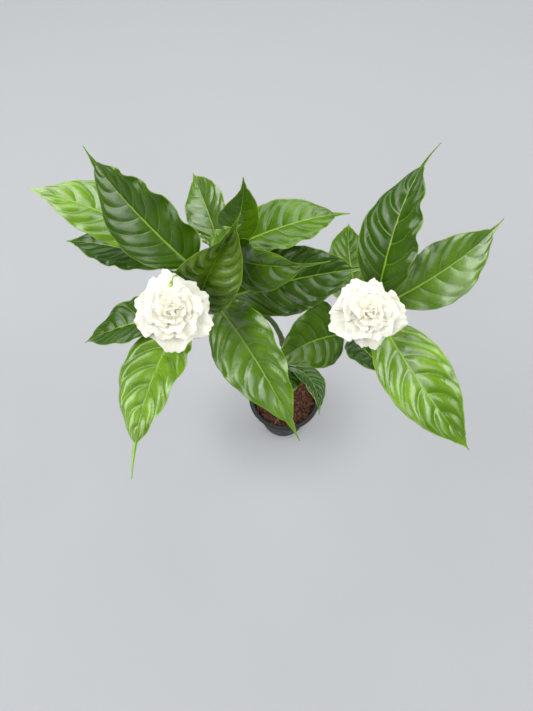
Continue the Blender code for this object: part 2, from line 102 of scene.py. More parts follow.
# Each leaf's midrib and outline, as in the frame, then its tone, how strongly it is quilted, how many side
# veins each half has, how many waves run along its margins, and how high they are on the left and right half
Leaf = namedtuple(
    "Leaf",
    "name node heading rise droop swing length width roll twist fold drip"
    " tone quilt veins waves wave_left wave_right",
)
LEAVES = (
    Leaf("left_leaf_1", "left_tip", 154, 39, 24, -29, 113, 52, -40, -27, 15, 0.14,
         "deep", 0.65, 8, 4.0, 0.8, 2.4),
    Leaf("left_leaf_2", "left_back", 159, 32, 32, 7, 113, 46, -2, -12, 15, 0.10,
         "fresh", 0.9, 6.4, 3.5, 0.9, 0.7),
    Leaf("left_leaf_3", "left_low_back", 161, 8, 28, 1, 103, 42, -6, 5, 15, 0.10,
         "dull", 0.7, 7, 4.5, 1.5, 1.0),
    Leaf("left_leaf_4", "left_mid", -169, 1, 42, -9, 84, 42, 7, 6, 15, 0.10,
         "deep", 0.8, 7, 3.5, 0.9, 1.4),
    Leaf("left_leaf_5", "left_front", -115, 17, 51, 19, 124, 49, 8, 19, 15, 0.20,
         "fresh", 1.7, 6.4, 4.0, 1.6, 1.0),
    Leaf("left_leaf_6", "left_low", -61, 34, 84, 5, 131, 51, 29, 15, 18, 0.14,
         "bright", 0.75, 7, 4.5, 1.8, 0.9),
    Leaf("left_leaf_7", "left_upper", -25, 81, 24, 59, 100, 50, 52, 38, 30, 0.12,
         "olive", 1.7, 9, 3.0, 2.0, 1.2),
    Leaf("left_leaf_8", "left_tip", 17, 69, 21, -2, 50, 29, -10, -12, 15, 0.10,
         "mid", 0.8, 6, 4.5, 1.9, 1.9),
    Leaf("centre_leaf_1", "centre_top", 6, 58, -33, 34, 64, 29, 37, 40, 15, 0.14,
         "mid", 0.5, 6, 3.0, 0.7, 0.7),
    Leaf("centre_leaf_2", "centre_tip", 17, 23, 48, 9, 104, 44, 4, 0, 15, 0.16,
         "mid", 0.7, 6.4, 4.5, 0.6, 1.5),
    Leaf("centre_leaf_3", "centre_tip", -59, 35, 18, 61, 94, 41, 61, 29, 15, 0.20,
         "mid", 0.9, 5.4, 3.5, 1.9, 0.8),
    Leaf("centre_leaf_4", "centre_low", 4, 27, 41, 12, 125, 53, 26, 11, 15, 0.18,
         "deep", 0.9, 7, 4.5, 1.7, 1.1),
    Leaf("centre_leaf_5", "centre_tip", 110, 24, 39, -2, 75, 35, -24, -20, 15, 0.12,
         "bright", 0.4, 6, 3.0, 0.7, 0.8),
    Leaf("right_leaf_1", "right_tip", 87, 81, 85, -37, 127, 48, -22, -30, 15, 0.20,
         "deep", 1.2, 6.4, 4.5, 0.6, 2.2),
    Leaf("right_leaf_2", "right_tip", 18, 19, 11, 29, 112, 47, 29, 19, 18, 0.14,
         "bright", 0.5, 6.6, 4.0, 0.9, 1.1),
    Leaf("right_leaf_3", "right_mid", -156, 40, 32, 24, 85, 45, -20, -15, 15, 0.10,
         "mid", 0.6, 6, 3.5, 0.9, 0.8),
    Leaf("right_leaf_4", "right_mid", -76, 36, 2, 9, 71, 36, -5, -2, 15, 0.12,
         "dull", 0.8, 7, 3.0, 0.8, 0.8),
    Leaf("right_leaf_5", "right_low", 109, 19, 31, -29, 89, 40, 8, -6, 20, 0.08,
         "mid", 0.7, 7, 3.5, 1.2, 0.8),
    Leaf("right_leaf_6", "right_tip", -78, 13, 55, 43, 121, 48, 7, 12, 15, 0.09,
         "fresh", 1.2, 6.6, 4.0, 0.9, 0.8),
    Leaf("stem_leaf_1", "stem_low", -32, 53, 79, -62, 73, 29, -23, -10, 15, 0.12,
         "dull", 0.9, 7, 3.0, 0.8, 0.8),
    Leaf("stem_leaf_2", "stem_low", -88, 48, 39, -25, 55, 31, -4, -1, 15, 0.10,
         "dull", 0.8, 6, 3.0, 0.7, 0.7),
)

# How leaves are made: cells along and across, shares of a leaf's length, widths and thicknesses in
# millimetres, and how far the side veins sweep forward as shares of the blade's length. The neck, where the
# blade runs into its drip tip, is a share of the width that falls with the tip's own share
LEAF_ROWS = 148
LEAF_HALF_COLUMNS = 18
LEAF_STALK_SHARE = 0.08
LEAF_STALK_HALF_WIDTH = 1.1
LEAF_TIP_SHARE = 0.3
LEAF_OVAL_SKEW = 0.88
LEAF_OVAL_FULLNESS = 0.8
LEAF_NECK = 0.078
LEAF_NECK_LOSS = 0.31
MIDRIB_STEPS = 240
COLUMN_CROWDING = 0.085
BLADE_THICKNESS = 0.28
RIB_THICKNESS = 1.0
VEIN_THICKNESS = 0.2
STALK_THICKNESS = 1.3
VEIN_SWEEP = 0.07
VEIN_CURVE = 0.19
VEIN_CURVE_POWER = 2.3
VEIN_OFFSET = 0.35

# Leaves with one side broader near the foot: the side (1 left, -1 right), by how much, and the share of the
# leaf's length at which it is broadest and over which it fades
BROAD_SIDES = {
    "left_leaf_1": (-1, 8.5, 0.14, 0.10),
    "right_leaf_3": (-1, 8.0, 0.28, 0.16),
    "right_leaf_5": (1, 9.0, 0.22, 0.15),
    "left_leaf_7": (1, 5.0, 0.25, 0.15),
}

# Flowers: the middle of the face, the way it faces, how far its inner petals are turned, and the points that
# its stalk follows up to it. Then for each outer petal its direction, and its reach and its width as shares
# of the usual
Flower = namedtuple("Flower", "name middle facing turn stalk seed outer")
FLOWERS = (
    Flower("left_flower", (-78, -63, 349), (0.05, -0.38, 0.92), 54,
           ((-76.6, -39.2, 313.4), (-76.9, -40.6, 315), (-78.5, -46, 320), (-79, -52, 327)), 11,
           ((38, 0.97, 1.0), (109, 1.12, 0.95), (178, 1.0, 1.25), (272, 0.97, 1.1), (340, 1.02, 0.95))),
    Flower("right_flower", (44, -57, 337), (0.0, -0.36, 0.93), 50,
           ((56.9, -33.4, 309.4), (56.2, -35.4, 311), (51, -41, 314), (45.5, -47, 317)), 23,
           ((72, 0.95, 0.75), (124, 0.95, 1.15), (191, 1.03, 1.15), (272, 0.90, 0.85), (3, 1.03, 1.1))),
)

# How flowers are made: cells along and across a petal, and lengths in millimetres, heights above the face
TUBE_LENGTH = 17.0
PETAL_CELLS = (34, 42)
HEART_PETAL_CELLS = (22, 26)
PETAL_THICKNESS = 0.22
PETAL_FOOT_RADIUS = 1.5
MOUND_RADIUS = 7.6
MOUND_RISE = 5.0
MOUND_EDGE = 4.4
MOUND_FOOT = 3.4

# Rings of petals: ring, how many, reach, half width, lift, slope at the foot and at the rim, ruffle height
# and how far round the ring is turned. The heart is four more such rings, of small crumpled petals
Ring = namedtuple("Ring", "name count reach half_width lift slope_foot slope_rim ruffle shift")
RINGS = (
    Ring("outer", 5, 23.5, 13.8, 0.4, 20, -14, 0.9, 0.0),
    Ring("inner", 5, 18.0, 11.6, 2.4, 30, -2, 1.0, 0.5),
)
HEART_RINGS = (
    Ring("heart_1", 5, 13.0, 8.6, 4.4, 32, 8, 0.8, 0.15),
    Ring("heart_2", 5, 9.6, 6.6, 5.4, 44, 30, 0.8, 0.6),
    Ring("heart_3", 4, 6.6, 5.2, 6.4, 56, 90, 0.7, 0.2),
    Ring("heart_4", 3, 5.0, 4.2, 7.4, 66, 150, 0.6, 0.5),
)

# Buds: the points that each one's stalk follows up to the bud's own foot, and the bud's length
Bud = namedtuple("Bud", "name stalk length")
BUDS = (
    Bud("centre_bud_1", ((-53.6, 6.2, 320), (-55.6, 5.6, 324.5), (-60, 5.4, 331.5), (-64.8, 6.3, 336.3)), 5),
    Bud("centre_bud_2", ((-53.6, 5.2, 318), (-55.2, 4.4, 321.5), (-58.5, 3.6, 328.5), (-62.4, 3.6, 334)),
        4.5),
    Bud("left_bud_1", ((-75.4, -36.4, 308), (-75.3, -37.4, 315), (-74.5, -37, 327), (-74.8, -37.6, 343),
                       (-76, -40.6, 356.5), (-77, -46, 364), (-77.4, -51.4, 366.3)), 5.5),
)

# Sides of the round parts, and how much stems thicken at their feet and where leaves grow
STEM_SIDES = 22
STEM_FLARE = 0.45
NODE_SWELLING = 0.45
NODE_REACH = 2.6
STALK_SIDES = 18
BUD_SIDES = 20
MOUND_SIDES = 40


# Shapes

WAVE_COUNT = 7
WAVE_PACES = (0.6, 1.8)


def around(sides):
    """Angles of points spread evenly round a circle."""
    return np.linspace(0, TAU, sides, endpoint=False)


def waves(x, y, seed):
    """Smooth unevenness of about -1 to 1: a sum of sine waves with seeded directions, paces and starts."""
    draw = np.random.default_rng(seed)
    turns = draw.uniform(0, TAU, WAVE_COUNT)
    paces = draw.uniform(*WAVE_PACES, WAVE_COUNT)
    starts = draw.uniform(0, TAU, WAVE_COUNT)
    total = np.zeros(np.broadcast(x, y).shape)
    for turn, pace, start in zip(turns, paces, starts):
        total += np.sin(pace * (x * math.cos(turn) + y * math.sin(turn)) + start)
    return total / math.sqrt(WAVE_COUNT)


def smoothstep(value, low, high):
    """0 below low, 1 above high, and 3 t squared less 2 t cubed between them."""
    t = np.clip((value - low) / (high - low), 0, 1)
    return t * t * (3 - 2 * t)


def unit(vectors):
    """Each vector divided by its own length."""
    return vectors / np.maximum(np.linalg.norm(vectors, axis=-1, keepdims=True), 1e-12)


def surface_normals(points):
    """Normals of a grid of points: the cross product of its differences along rows and across columns."""
    along = np.gradient(points, axis=0)
    across = np.gradient(points, axis=1)
    return unit(np.cross(along, across))


def ring_quads(count, sides):
    """Quads between closed rings of points."""
    ring, spot = np.meshgrid(np.arange(count - 1), np.arange(sides), indexing="ij")
    low = ring * sides
    after = (spot + 1) % sides
    corners = [low + spot, low + after, low + sides + after, low + sides + spot]
    return np.stack(corners, axis=-1).reshape(-1, 4)


def round_skin(rings, fields):
    """A closed skin through rings of points, each end closed by a fan of triangles to the ring's middle."""
    count, sides = rings.shape[:2]
    spots = np.arange(sides)
    after = (spots + 1) % sides
    base = (count - 1) * sides
    first = np.stack([np.full(sides, count * sides), after, spots], axis=1)
    last = np.stack([np.full(sides, count * sides + 1), base + spots, base + after], axis=1)
    points = np.concatenate([rings.reshape(-1, 3), rings[:1].mean(axis=1), rings[-1:].mean(axis=1)])
    full = {}
    for field, values in fields.items():
        values = np.broadcast_to(values, (count, sides))
        full[field] = np.concatenate([values.ravel(), values[:1].mean(axis=1), values[-1:].mean(axis=1)])
    return points, ring_quads(count, sides), np.concatenate([first, last]), full


def flat_skin(rings, fields):
    """A closed skin through the flat rings of a thin sheet, each end closed by a strip between the sheet's
    top and back sides."""
    count, sides = rings.shape[:2]
    columns = sides // 2 + 1
    top = np.arange(1, columns - 2)
    behind = sides - top
    strip = np.stack([top, top + 1, behind - 1, behind], axis=1)
    ends = np.array([[0, 1, sides - 1], [columns - 2, columns - 1, columns]])
    base = (count - 1) * sides
    quads = np.concatenate([ring_quads(count, sides), strip[:, ::-1], strip + base])
    triangles = np.concatenate([ends[:, ::-1], ends + base])
    full = {field: np.broadcast_to(values, (count, sides)).ravel() for field, values in fields.items()}
    return rings.reshape(-1, 3), quads, triangles, full


def joined(skins):
    """Several closed skins as one."""
    starts = np.cumsum([0] + [len(points) for points, *_ in skins])
    points = np.concatenate([skin[0] for skin in skins])
    quads = np.concatenate([skin[1] + start for skin, start in zip(skins, starts)])
    triangles = np.concatenate([skin[2] + start for skin, start in zip(skins, starts)])
    fields = {key: np.concatenate([skin[3][key] for skin in skins]) for key in skins[0][3]}
    return points, quads, triangles, fields


def put_mesh(name, points, quads, triangles, fields, material):
    """A mesh object in metres from points in millimetres, with its faces turned to point outwards."""
    corners = np.concatenate([quads.ravel(), triangles.ravel()]).astype(np.int32)
    sizes = np.concatenate([np.full(len(quads), 4), np.full(len(triangles), 3)]).astype(np.int32)
    thirds = np.concatenate([quads[:, [0, 1, 2]], quads[:, [0, 2, 3]], triangles])
    a, b, c = (points[thirds[:, k]] for k in range(3))
    if np.einsum("ij,ij->i", a, np.cross(b, c)).sum() < 0:
        corners = np.concatenate([quads[:, ::-1].ravel(), triangles[:, ::-1].ravel()]).astype(np.int32)
    mesh = bpy.data.meshes.new(name)
    mesh.vertices.add(len(points))
    mesh.vertices.foreach_set("co", (points * MM).astype(np.float32).ravel())
    mesh.loops.add(len(corners))
    mesh.loops.foreach_set("vertex_index", corners)
    mesh.polygons.add(len(sizes))
    mesh.polygons.foreach_set("loop_start", np.concatenate([[0], np.cumsum(sizes)[:-1]]).astype(np.int32))
    mesh.polygons.foreach_set("loop_total", sizes)
    mesh.update(calc_edges=True)
    mesh.validate()
    mesh.shade_smooth()
    for field, values in fields.items():
        layer = mesh.attributes.new(field, "FLOAT", "POINT")
        layer.data.foreach_set("value", values.astype(np.float32).ravel())
    mesh.materials.append(material)
    piece = bpy.data.objects.new(name, mesh)
    bpy.context.scene.collection.objects.link(piece)
    return piece


def two_sided(top, thickness, fields):
    """Rings of a thin sheet: its top side left to right, then its back side, thickness below the top along
    the normal, right to left. Both sides share the two margins."""
    normal = surface_normals(top)
    back = top - normal * thickness[..., None]
    columns = top.shape[1]
    order = np.arange(columns - 2, 0, -1)
    rings = np.concatenate([top, back[:, order]], axis=1)
    full = {"back": np.concatenate([np.zeros(top.shape[:2]), np.ones((len(top), len(order)))], axis=1)}
    for field, values in fields.items():
        values = np.broadcast_to(values, top.shape[:2])
        full[field] = np.concatenate([values, values[:, order]], axis=1)
    return rings, full


def smooth_path(points, steps):
    """Points on the smooth curve through the given points: a cubic between each two, with the slope at each
    point parallel to the line between its neighbours."""
    knots = np.array(points, float)
    knots = np.vstack([2 * knots[0] - knots[1], knots, 2 * knots[-1] - knots[-2]])
    t = (np.arange(steps) / steps)[:, None]
    path = []
    for before, start, end, after in zip(knots, knots[1:], knots[2:], knots[3:]):
        square = (2 * before - 5 * start + 4 * end - after) * t ** 2
        cube = (3 * start - before - 3 * end + after) * t ** 3
        path.append(start + ((end - before) * t + square + cube) / 2)
    return np.vstack([*path, knots[-2:-1]])


def path_frames(path):
    """The forward, sideways and upward directions along a path, turned as little as possible on the way."""
    ahead = unit(np.gradient(path, axis=0))
    side = np.zeros_like(path)
    start = np.cross(ahead[0], (0.3, 1.0, 0.2))
    for index, forward in enumerate(ahead):
        start = start - forward * start.dot(forward)
        start = start / np.linalg.norm(start)
        side[index] = start
    return ahead, side, np.cross(ahead, side)


def tube_rings(path, radii, sides, relief=0.0):
    """Rings of a round rod: at each point of the path a circle of its radius, plus relief, square to it."""
    _, side, over = path_frames(path)
    turn = around(sides)
    reach = np.asarray(radii)[:, None] + relief
    circle = np.cos(turn)[:, None] * side[:, None, :] + np.sin(turn)[:, None] * over[:, None, :]
    return path[:, None, :] + reach[..., None] * circle


def path_length(path):
    """Distance along a path from its first point to each of its points."""
    return np.concatenate([[0.0], np.cumsum(np.linalg.norm(np.diff(path, axis=0), axis=1))])


# Leaves


def pointing(leaf, share):
    """The midrib's forward and level sideways directions at shares of its length."""
    rise = np.radians(leaf.rise - leaf.droop * share)
    heading = np.radians(leaf.heading + leaf.swing * share)
    ahead = np.stack([np.cos(rise) * np.cos(heading), np.cos(rise) * np.sin(heading), np.sin(rise)], axis=1)
    side = np.stack([-np.sin(heading), np.cos(heading), np.zeros(len(share))], axis=1)
    return ahead, side


def midrib(leaf, share):
    """Points, leftward and upward directions along a leaf's midrib: its forward direction summed up from
    the foot, and its two cross directions rolled about it."""
    fine = (np.arange(MIDRIB_STEPS) + 0.5) / MIDRIB_STEPS
    track = np.cumsum(pointing(leaf, fine)[0] * leaf.length / MIDRIB_STEPS, axis=0)
    track = np.vstack([np.zeros(3), track])
    even = np.linspace(0, 1, MIDRIB_STEPS + 1)
    middle, stand_off = NODES[leaf.node]
    away = math.radians(leaf.heading)
    foot = np.array(middle) + stand_off * np.array([math.cos(away), math.sin(away), 0.0])
    points = foot + np.stack([np.interp(share, even, track[:, axis]) for axis in range(3)], axis=1)
    ahead, side = pointing(leaf, share)
    top = np.cross(ahead, side)
    roll = np.radians(leaf.roll + leaf.twist * share)[:, None]
    return points, np.cos(roll) * side + np.sin(roll) * top, np.cos(roll) * top - np.sin(roll) * side


def leaf_half_width(leaf, share):
    """Half the blade's width: a narrow stalk, a long oval, and a thin drip tip that the oval runs out into
    along a hollow curve."""
    along = np.clip((share - LEAF_STALK_SHARE) / (1 - leaf.drip - LEAF_STALK_SHARE), 0, 1)
    oval = np.sin(np.pi * along ** LEAF_OVAL_SKEW) ** LEAF_OVAL_FULLNESS
    stalk = LEAF_STALK_HALF_WIDTH * np.clip((1 - share) / leaf.drip + LEAF_TIP_SHARE, 0, 1)
    neck = (LEAF_NECK - LEAF_NECK_LOSS * leaf.drip) * leaf.width
    neck = neck * np.exp(-(((share - 1 + leaf.drip) / (0.38 * leaf.drip)) ** 2))
    return stalk + neck + (leaf.width / 2 - LEAF_STALK_HALF_WIDTH) * oval


def make_leaf(leaf, seed, quilt, material):
    """One leaf. Across the midrib two halves rise at the fold angle and level off towards the margin. Between
    its side veins, which sweep forward as they run outwards, each half swells up, and the margins wave."""
    share = np.linspace(0, 1, LEAF_ROWS + 1)
    even = np.linspace(0, 1, LEAF_HALF_COLUMNS + 1)
    half = even - COLUMN_CROWDING * np.sin(TAU * even)
    across = np.concatenate([-half[:0:-1], half])
    points, left, up = midrib(leaf, share)
    side = np.abs(across)[None, :]
    hand = np.where(across < 0, -1.0, 1.0)[None, :]
    blade = np.clip((share - LEAF_STALK_SHARE) / (1 - leaf.drip - LEAF_STALK_SHARE), 0, 1)[:, None]
    body = np.sin(np.pi * blade) ** 0.45
    start = np.random.default_rng(seed).uniform(0, TAU, 4)
    swing = leaf.waves * TAU * blade
    margin = np.where(
        hand > 0,
        leaf.wave_left * np.sin(swing + start[0] + 0.7 * np.sin(1.7 * swing / leaf.waves + start[1])),
        leaf.wave_right * np.sin(1.07 * swing + start[2] + 0.7 * np.sin(1.3 * swing / leaf.waves + start[3])),
    )
    half_width = leaf_half_width(leaf, share)[:, None] * (1 - 0.018 * np.abs(margin) * body)
    if leaf.name in BROAD_SIDES:
        which, broader, place, spread = BROAD_SIDES[leaf.name]
        bulge = np.exp(-(((share - place) / spread) ** 2)) * (1 - np.exp(-((share / 0.05) ** 2)))
        half_width = half_width + np.where(hand == which, broader * bulge[:, None], 0.0)
    reach = across[None, :] * half_width
    fold = math.radians(leaf.fold)
    sheet = (
        points[:, None, :]
        + (reach * math.cos(fold))[..., None] * left[:, None, :]
        + (np.abs(reach) * math.sin(fold) * (1.12 - 0.3 * side))[..., None] * up[:, None, :]
    )
    forward = VEIN_SWEEP * side + VEIN_CURVE * side ** VEIN_CURVE_POWER
    vein = leaf.veins * (blade - forward) + np.where(hand > 0, 0.0, VEIN_OFFSET)
    between = vein - np.floor(vein)
    line = np.minimum(between, 1 - between)
    swell = 0.55 * (4 * between * (1 - between)) ** 0.9 + 0.45 * (1 - np.exp(-((line / 0.15) ** 2)))
    swell = swell * (0.25 + 0.75 * smoothstep(side, 0.0, 0.3))
    fade = 1 - smoothstep(side, 0.72, 1.0)
    run = share[:, None] * leaf.length
    relief = (
        quilt * leaf.quilt * swell * fade * body * min(1.0, leaf.width / 45)
        - 0.5 * np.exp(-((reach / 1.1) ** 2)) * body * (1 - blade)
        + margin * side ** 2.5 * body
        + 0.7 * waves(run / 14, reach / 14, seed + 50) * side * body
    )
    sheet = sheet + relief[..., None] * surface_normals(sheet)
    stalk = 1 - smoothstep(share[:, None], 0.5 * LEAF_STALK_SHARE, 1.7 * LEAF_STALK_SHARE)
    thickness = (
        BLADE_THICKNESS * np.sqrt(np.clip(1 - side ** 6, 0, 1))
        + RIB_THICKNESS * np.exp(-((reach / 0.9) ** 2)) * (1 - share[:, None]) ** 0.8
        + VEIN_THICKNESS * np.exp(-((line / 0.07) ** 2)) * fade * body
        + STALK_THICKNESS * stalk * np.sqrt(np.clip(1 - side ** 2, 0, 1))
    )
    # The vein field also places the painted shade in the troughs along the side veins, and the edge field the
    # painted highlight along the margin
    fields = {
        "vein": vein,
        "reach": reach / leaf.width * 50,
        "run": share[:, None],
        "edge": (1 - side) * half_width,
        "blade": body,
    }
    rings, full = two_sided(sheet, thickness, fields)
    piece = put_mesh(leaf.name + "_blade", *flat_skin(rings, full), material)
    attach(piece, "root")
    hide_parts(leaf.name)


# Stems, flowers and buds


def make_stem(stem, seed, material):
    """One stem: a round rod along a smooth path. Its radius falls evenly, flares at the foot, swells where
    leaves grow, and carries fine lengthways ridges."""
    path = smooth_path(stem.points, 14)
    run = path_length(path)
    radii = np.interp(run, [0, run[-1]], [stem.first_radius, stem.last_radius])
    if stem.name != "main_stem":
        radii += STEM_FLARE * stem.first_radius * np.exp(-run / stem.flare)
    for middle, _ in NODES.values():
        away = np.linalg.norm(path - np.array(middle), axis=1)
        radii += NODE_SWELLING * np.exp(-((away / NODE_REACH) ** 2))
    radii *= 1 - 0.75 * smoothstep(run, run[-1] - 1.5, run[-1])
    turn = around(STEM_SIDES)[None, :]
    relief = 0.05 * np.sin(6 * turn + run[:, None] / 9) + 0.09 * waves(turn * 2, run[:, None] / 3, seed)
    rings = tube_rings(path, radii, STEM_SIDES, relief)
    fields = {"run": (run / 100)[:, None], "turn": np.cos(turn)}
    piece = put_mesh(stem.name + "_bark", *round_skin(rings, fields), material)
    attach(piece, "root")
    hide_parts(stem.name)


def flower_axes(flower):
    """Sideways, upward-in-the-face and facing directions of a flower."""
    facing = unit(np.array(flower.facing, float))
    side = unit(np.array([1.0, 0.0, 0.0]) - facing[0] * facing)
    return side, np.cross(facing, side), facing


def petal_rings(flower, angle, ring, reach, seed, cells):
    """One petal. Its middle line climbs at a slope that turns evenly from foot to rim. It widens from a
    narrow claw to a broad round end with a scalloped rim. Pleats run along it and deepen towards the rim,
    where the edge curls over."""
    side, over, facing = flower_axes(flower)
    out_way = math.cos(angle) * side + math.sin(angle) * over
    round_way = np.cross(facing, out_way)
    rows, columns = cells
    out = np.linspace(0, 1, rows + 1)[:, None]
    across = np.linspace(-1, 1, columns + 1)[None, :]
    draw = np.random.default_rng(seed)
    start = draw.uniform(0, TAU, 9)
    slope_rim = ring.slope_rim + draw.uniform(-7, 7)
    slope = np.radians(ring.slope_foot + (slope_rim - ring.slope_foot) * out ** 1.2)
    step = reach / rows
    radius = PETAL_FOOT_RADIUS + (np.cumsum(np.cos(slope), axis=0) - np.cos(slope[:1])) * step
    height = ring.lift + (np.cumsum(np.sin(slope), axis=0) - np.sin(slope[:1])) * step
    scallop = 0.05 * np.sin(3.6 * across + start[0]) + 0.036 * np.sin(8.3 * across + start[1])
    scallop = scallop + 0.016 * np.sin(22 * across + start[2])
    ending = 1 + out ** 2 * (scallop - 0.55 * (1 - np.sqrt(1 - 0.97 * across ** 2)))
    width = ring.half_width * (0.17 + 0.83 * np.sin(np.pi / 2 * np.clip(1.2 * out, 0, 1)) ** 1.25)
    width = width * (1 - 0.10 * smoothstep(out, 0.8, 1.0))
    edge = 1 - (1 - out ** 2.2) * (1 - np.abs(across) ** 3)
    pleats = (
        0.7 * np.sin(1.9 * np.pi * across + 0.8 * out + start[3])
        + 0.22 * np.sin(4.3 * np.pi * across - 1.5 * out + start[4])
        + 0.05 * np.sin(10.5 * np.pi * across + 2.5 * out + start[5])
    )
    crumple = waves(across * ring.half_width / 2.2, out * reach / 2.2, seed + 5)
    fold = pleats * (0.2 + 0.8 * edge) * smoothstep(out, 0.0, 0.7)
    fold = fold + 0.25 * crumple * smoothstep(out, 0.05, 0.5)
    curl = smoothstep(out, 0.78, 1.0) * (0.5 + 0.7 * np.sin(4.2 * across + start[6]))
    tilt = 1.0 * across + 0.6 * across ** 2
    sway = 0.6 * ring.ruffle * np.sin(6.5 * out + start[7]) * across * edge
    points = (
        np.array(flower.middle, float)
        + (radius * ending)[..., None] * out_way
        + (across * width + sway)[..., None] * round_way
        + (height + tilt + ring.ruffle * fold - curl)[..., None] * facing
    )
    thickness = PETAL_THICKNESS * np.sqrt(np.clip(1 - np.abs(across) ** 8, 0, 1)) * (1 - 0.4 * out)
    # The fold field also sets the petal's painted shade in its troughs
    return two_sided(points, thickness, {"run": out, "fold": fold, "across": across})


def make_flower(flower, ruffle, petal, green):
    """A double flower: two rings of ruffled petals, a heart of small crumpled ones, the stalk and calyx.
    The outer petals' angles and reaches come from the flower's table; their draws only keep the order."""
    draw = np.random.default_rng(flower.seed)
    turn = math.radians(flower.turn)
    for ring in RINGS:
        ring = ring._replace(ruffle=ring.ruffle * ruffle)
        for index in range(ring.count):
            angle = turn + TAU * (index + ring.shift) / ring.count + draw.uniform(-0.08, 0.08)
            reach = ring.reach * draw.uniform(0.93, 1.04)
            own = ring
            if ring.name == "outer":
                direction, longer, wider = flower.outer[index]
                angle, reach = math.radians(direction), ring.reach * longer
                own = ring._replace(half_width=ring.half_width * wider)
            seed = flower.seed * 100 + index * 7 + len(ring.name)
            rings, fields = petal_rings(flower, angle, own, reach, seed, PETAL_CELLS)
            node = f"{flower.name}_{ring.name}_petal_{index + 1}"
            piece = put_mesh(node + "_sheet", *flat_skin(rings, fields), petal)
            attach(piece, "root")
            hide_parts(node)
    parts = [make_mound(flower)]
    for level, ring in enumerate(HEART_RINGS):
        ring = ring._replace(ruffle=ring.ruffle * ruffle)
        for index in range(ring.count):
            angle = turn + TAU * (index + ring.shift) / ring.count + draw.uniform(-0.25, 0.25)
            reach = ring.reach * draw.uniform(0.85, 1.1)
            seed = flower.seed * 300 + level * 31 + index
            parts.append(flat_skin(*petal_rings(flower, angle, ring, reach, seed, HEART_PETAL_CELLS)))
    piece = put_mesh(flower.name + "_heart_petals", *joined(parts), petal)
    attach(piece, "root")
    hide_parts(flower.name + "_heart")
    make_stalk(flower, green)


def make_mound(flower):
    """The crumpled middle under the heart's petals: a dome whose height falls with the square of the radius,
    with folds of two sizes."""
    side, over, facing = flower_axes(flower)
    turn = around(MOUND_SIDES)[None, :]
    below = [1.0, 6.0, 7.4]
    radius = np.concatenate([below, np.linspace(MOUND_RADIUS, 0.3, 22)])[:, None]
    dome = MOUND_EDGE + MOUND_RISE * (1 - (radius / MOUND_RADIUS) ** 2)
    dome[: len(below)] = MOUND_FOOT
    x, y = radius * np.cos(turn), radius * np.sin(turn)
    folds = 0.6 * waves(x / 1.5, y / 1.5, flower.seed) + 0.25 * waves(x / 0.6, y / 0.6, flower.seed + 1)
    height = dome + folds * (dome > MOUND_FOOT)
    middle = np.array(flower.middle, float)
    points = middle + x[..., None] * side + y[..., None] * over + height[..., None] * facing
    # Its folds also set the painted shade in the dips of the crumpled middle
    return round_skin(points, {"back": 0.0, "run": 0.16, "fold": folds, "across": 0.1 * x})


def make_stalk(flower, material):
    """The flower's stalk, calyx and tube: one rod whose radius follows their outline."""
    facing = flower_axes(flower)[2]
    middle = np.array(flower.middle, float)
    tube_foot = middle - facing * TUBE_LENGTH
    path = smooth_path([*flower.stalk, tube_foot, middle - facing * 9, middle + facing * 3], 12)
    run = path_length(path)
    foot = run[12 * len(flower.stalk)]
    radii = np.interp(
        run - foot,
        [-6, -1.2, 0.4, 2.4, 4.2, 5.0, 9.0, 15.0, 20.0],
        [0.85, 0.95, 1.7, 2.2, 2.3, 1.45, 1.5, 1.7, 2.2],
    )
    turn = around(STALK_SIDES)[None, :]
    lobes = smoothstep(run[:, None] - foot, 0.5, 3.0) * (1 - smoothstep(run[:, None] - foot, 4.2, 5.0))
    rings = tube_rings(path, radii, STALK_SIDES, 0.22 * lobes * np.cos(5 * turn))
    pale = smoothstep(run - foot, 4.4, 12)[:, None]
    skin = round_skin(rings, {"pale": pale})
    piece = put_mesh(flower.name + "_stalk_rod", *skin, material)
    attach(piece, "root")
    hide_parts(flower.name + "_stalk")


def make_bud(bud, material):
    """A closed bud on its stalk: a rod whose radius follows a small calyx and a pointed bud with five
    twisted ridges, the overlapping folded petals."""
    stalk = smooth_path(bud.stalk, 10)
    ahead = unit(stalk[-1] - stalk[-2])
    tip = stalk[-1] + np.linspace(0.04, 1, 26)[:, None] * ahead * bud.length
    path = np.vstack([stalk, tip])
    run = path_length(path) - path_length(stalk)[-1]
    share = run / bud.length
    radii = np.interp(
        share,
        [-0.3, 0.0, 0.1, 0.22, 0.27, 0.45, 0.62, 0.8, 0.93, 1.0],
        [0.45, 0.5, 0.85, 0.95, 0.75, 1.1, 1.3, 1.0, 0.55, 0.1],
    )
    turn = around(BUD_SIDES)[None, :]
    ridges = 0.12 * smoothstep(share[:, None], 0.3, 0.5) * (1 - smoothstep(share[:, None], 0.85, 1))
    rings = tube_rings(path, radii, BUD_SIDES, ridges * np.cos(5 * turn + 5 * share[:, None]))
    pale = 0.55 * smoothstep(share, 0.35, 0.9)[:, None]
    piece = put_mesh(bud.name + "_rod", *round_skin(rings, {"pale": pale}), material)
    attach(piece, "root")
    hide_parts(bud.name)


# Pot and soil

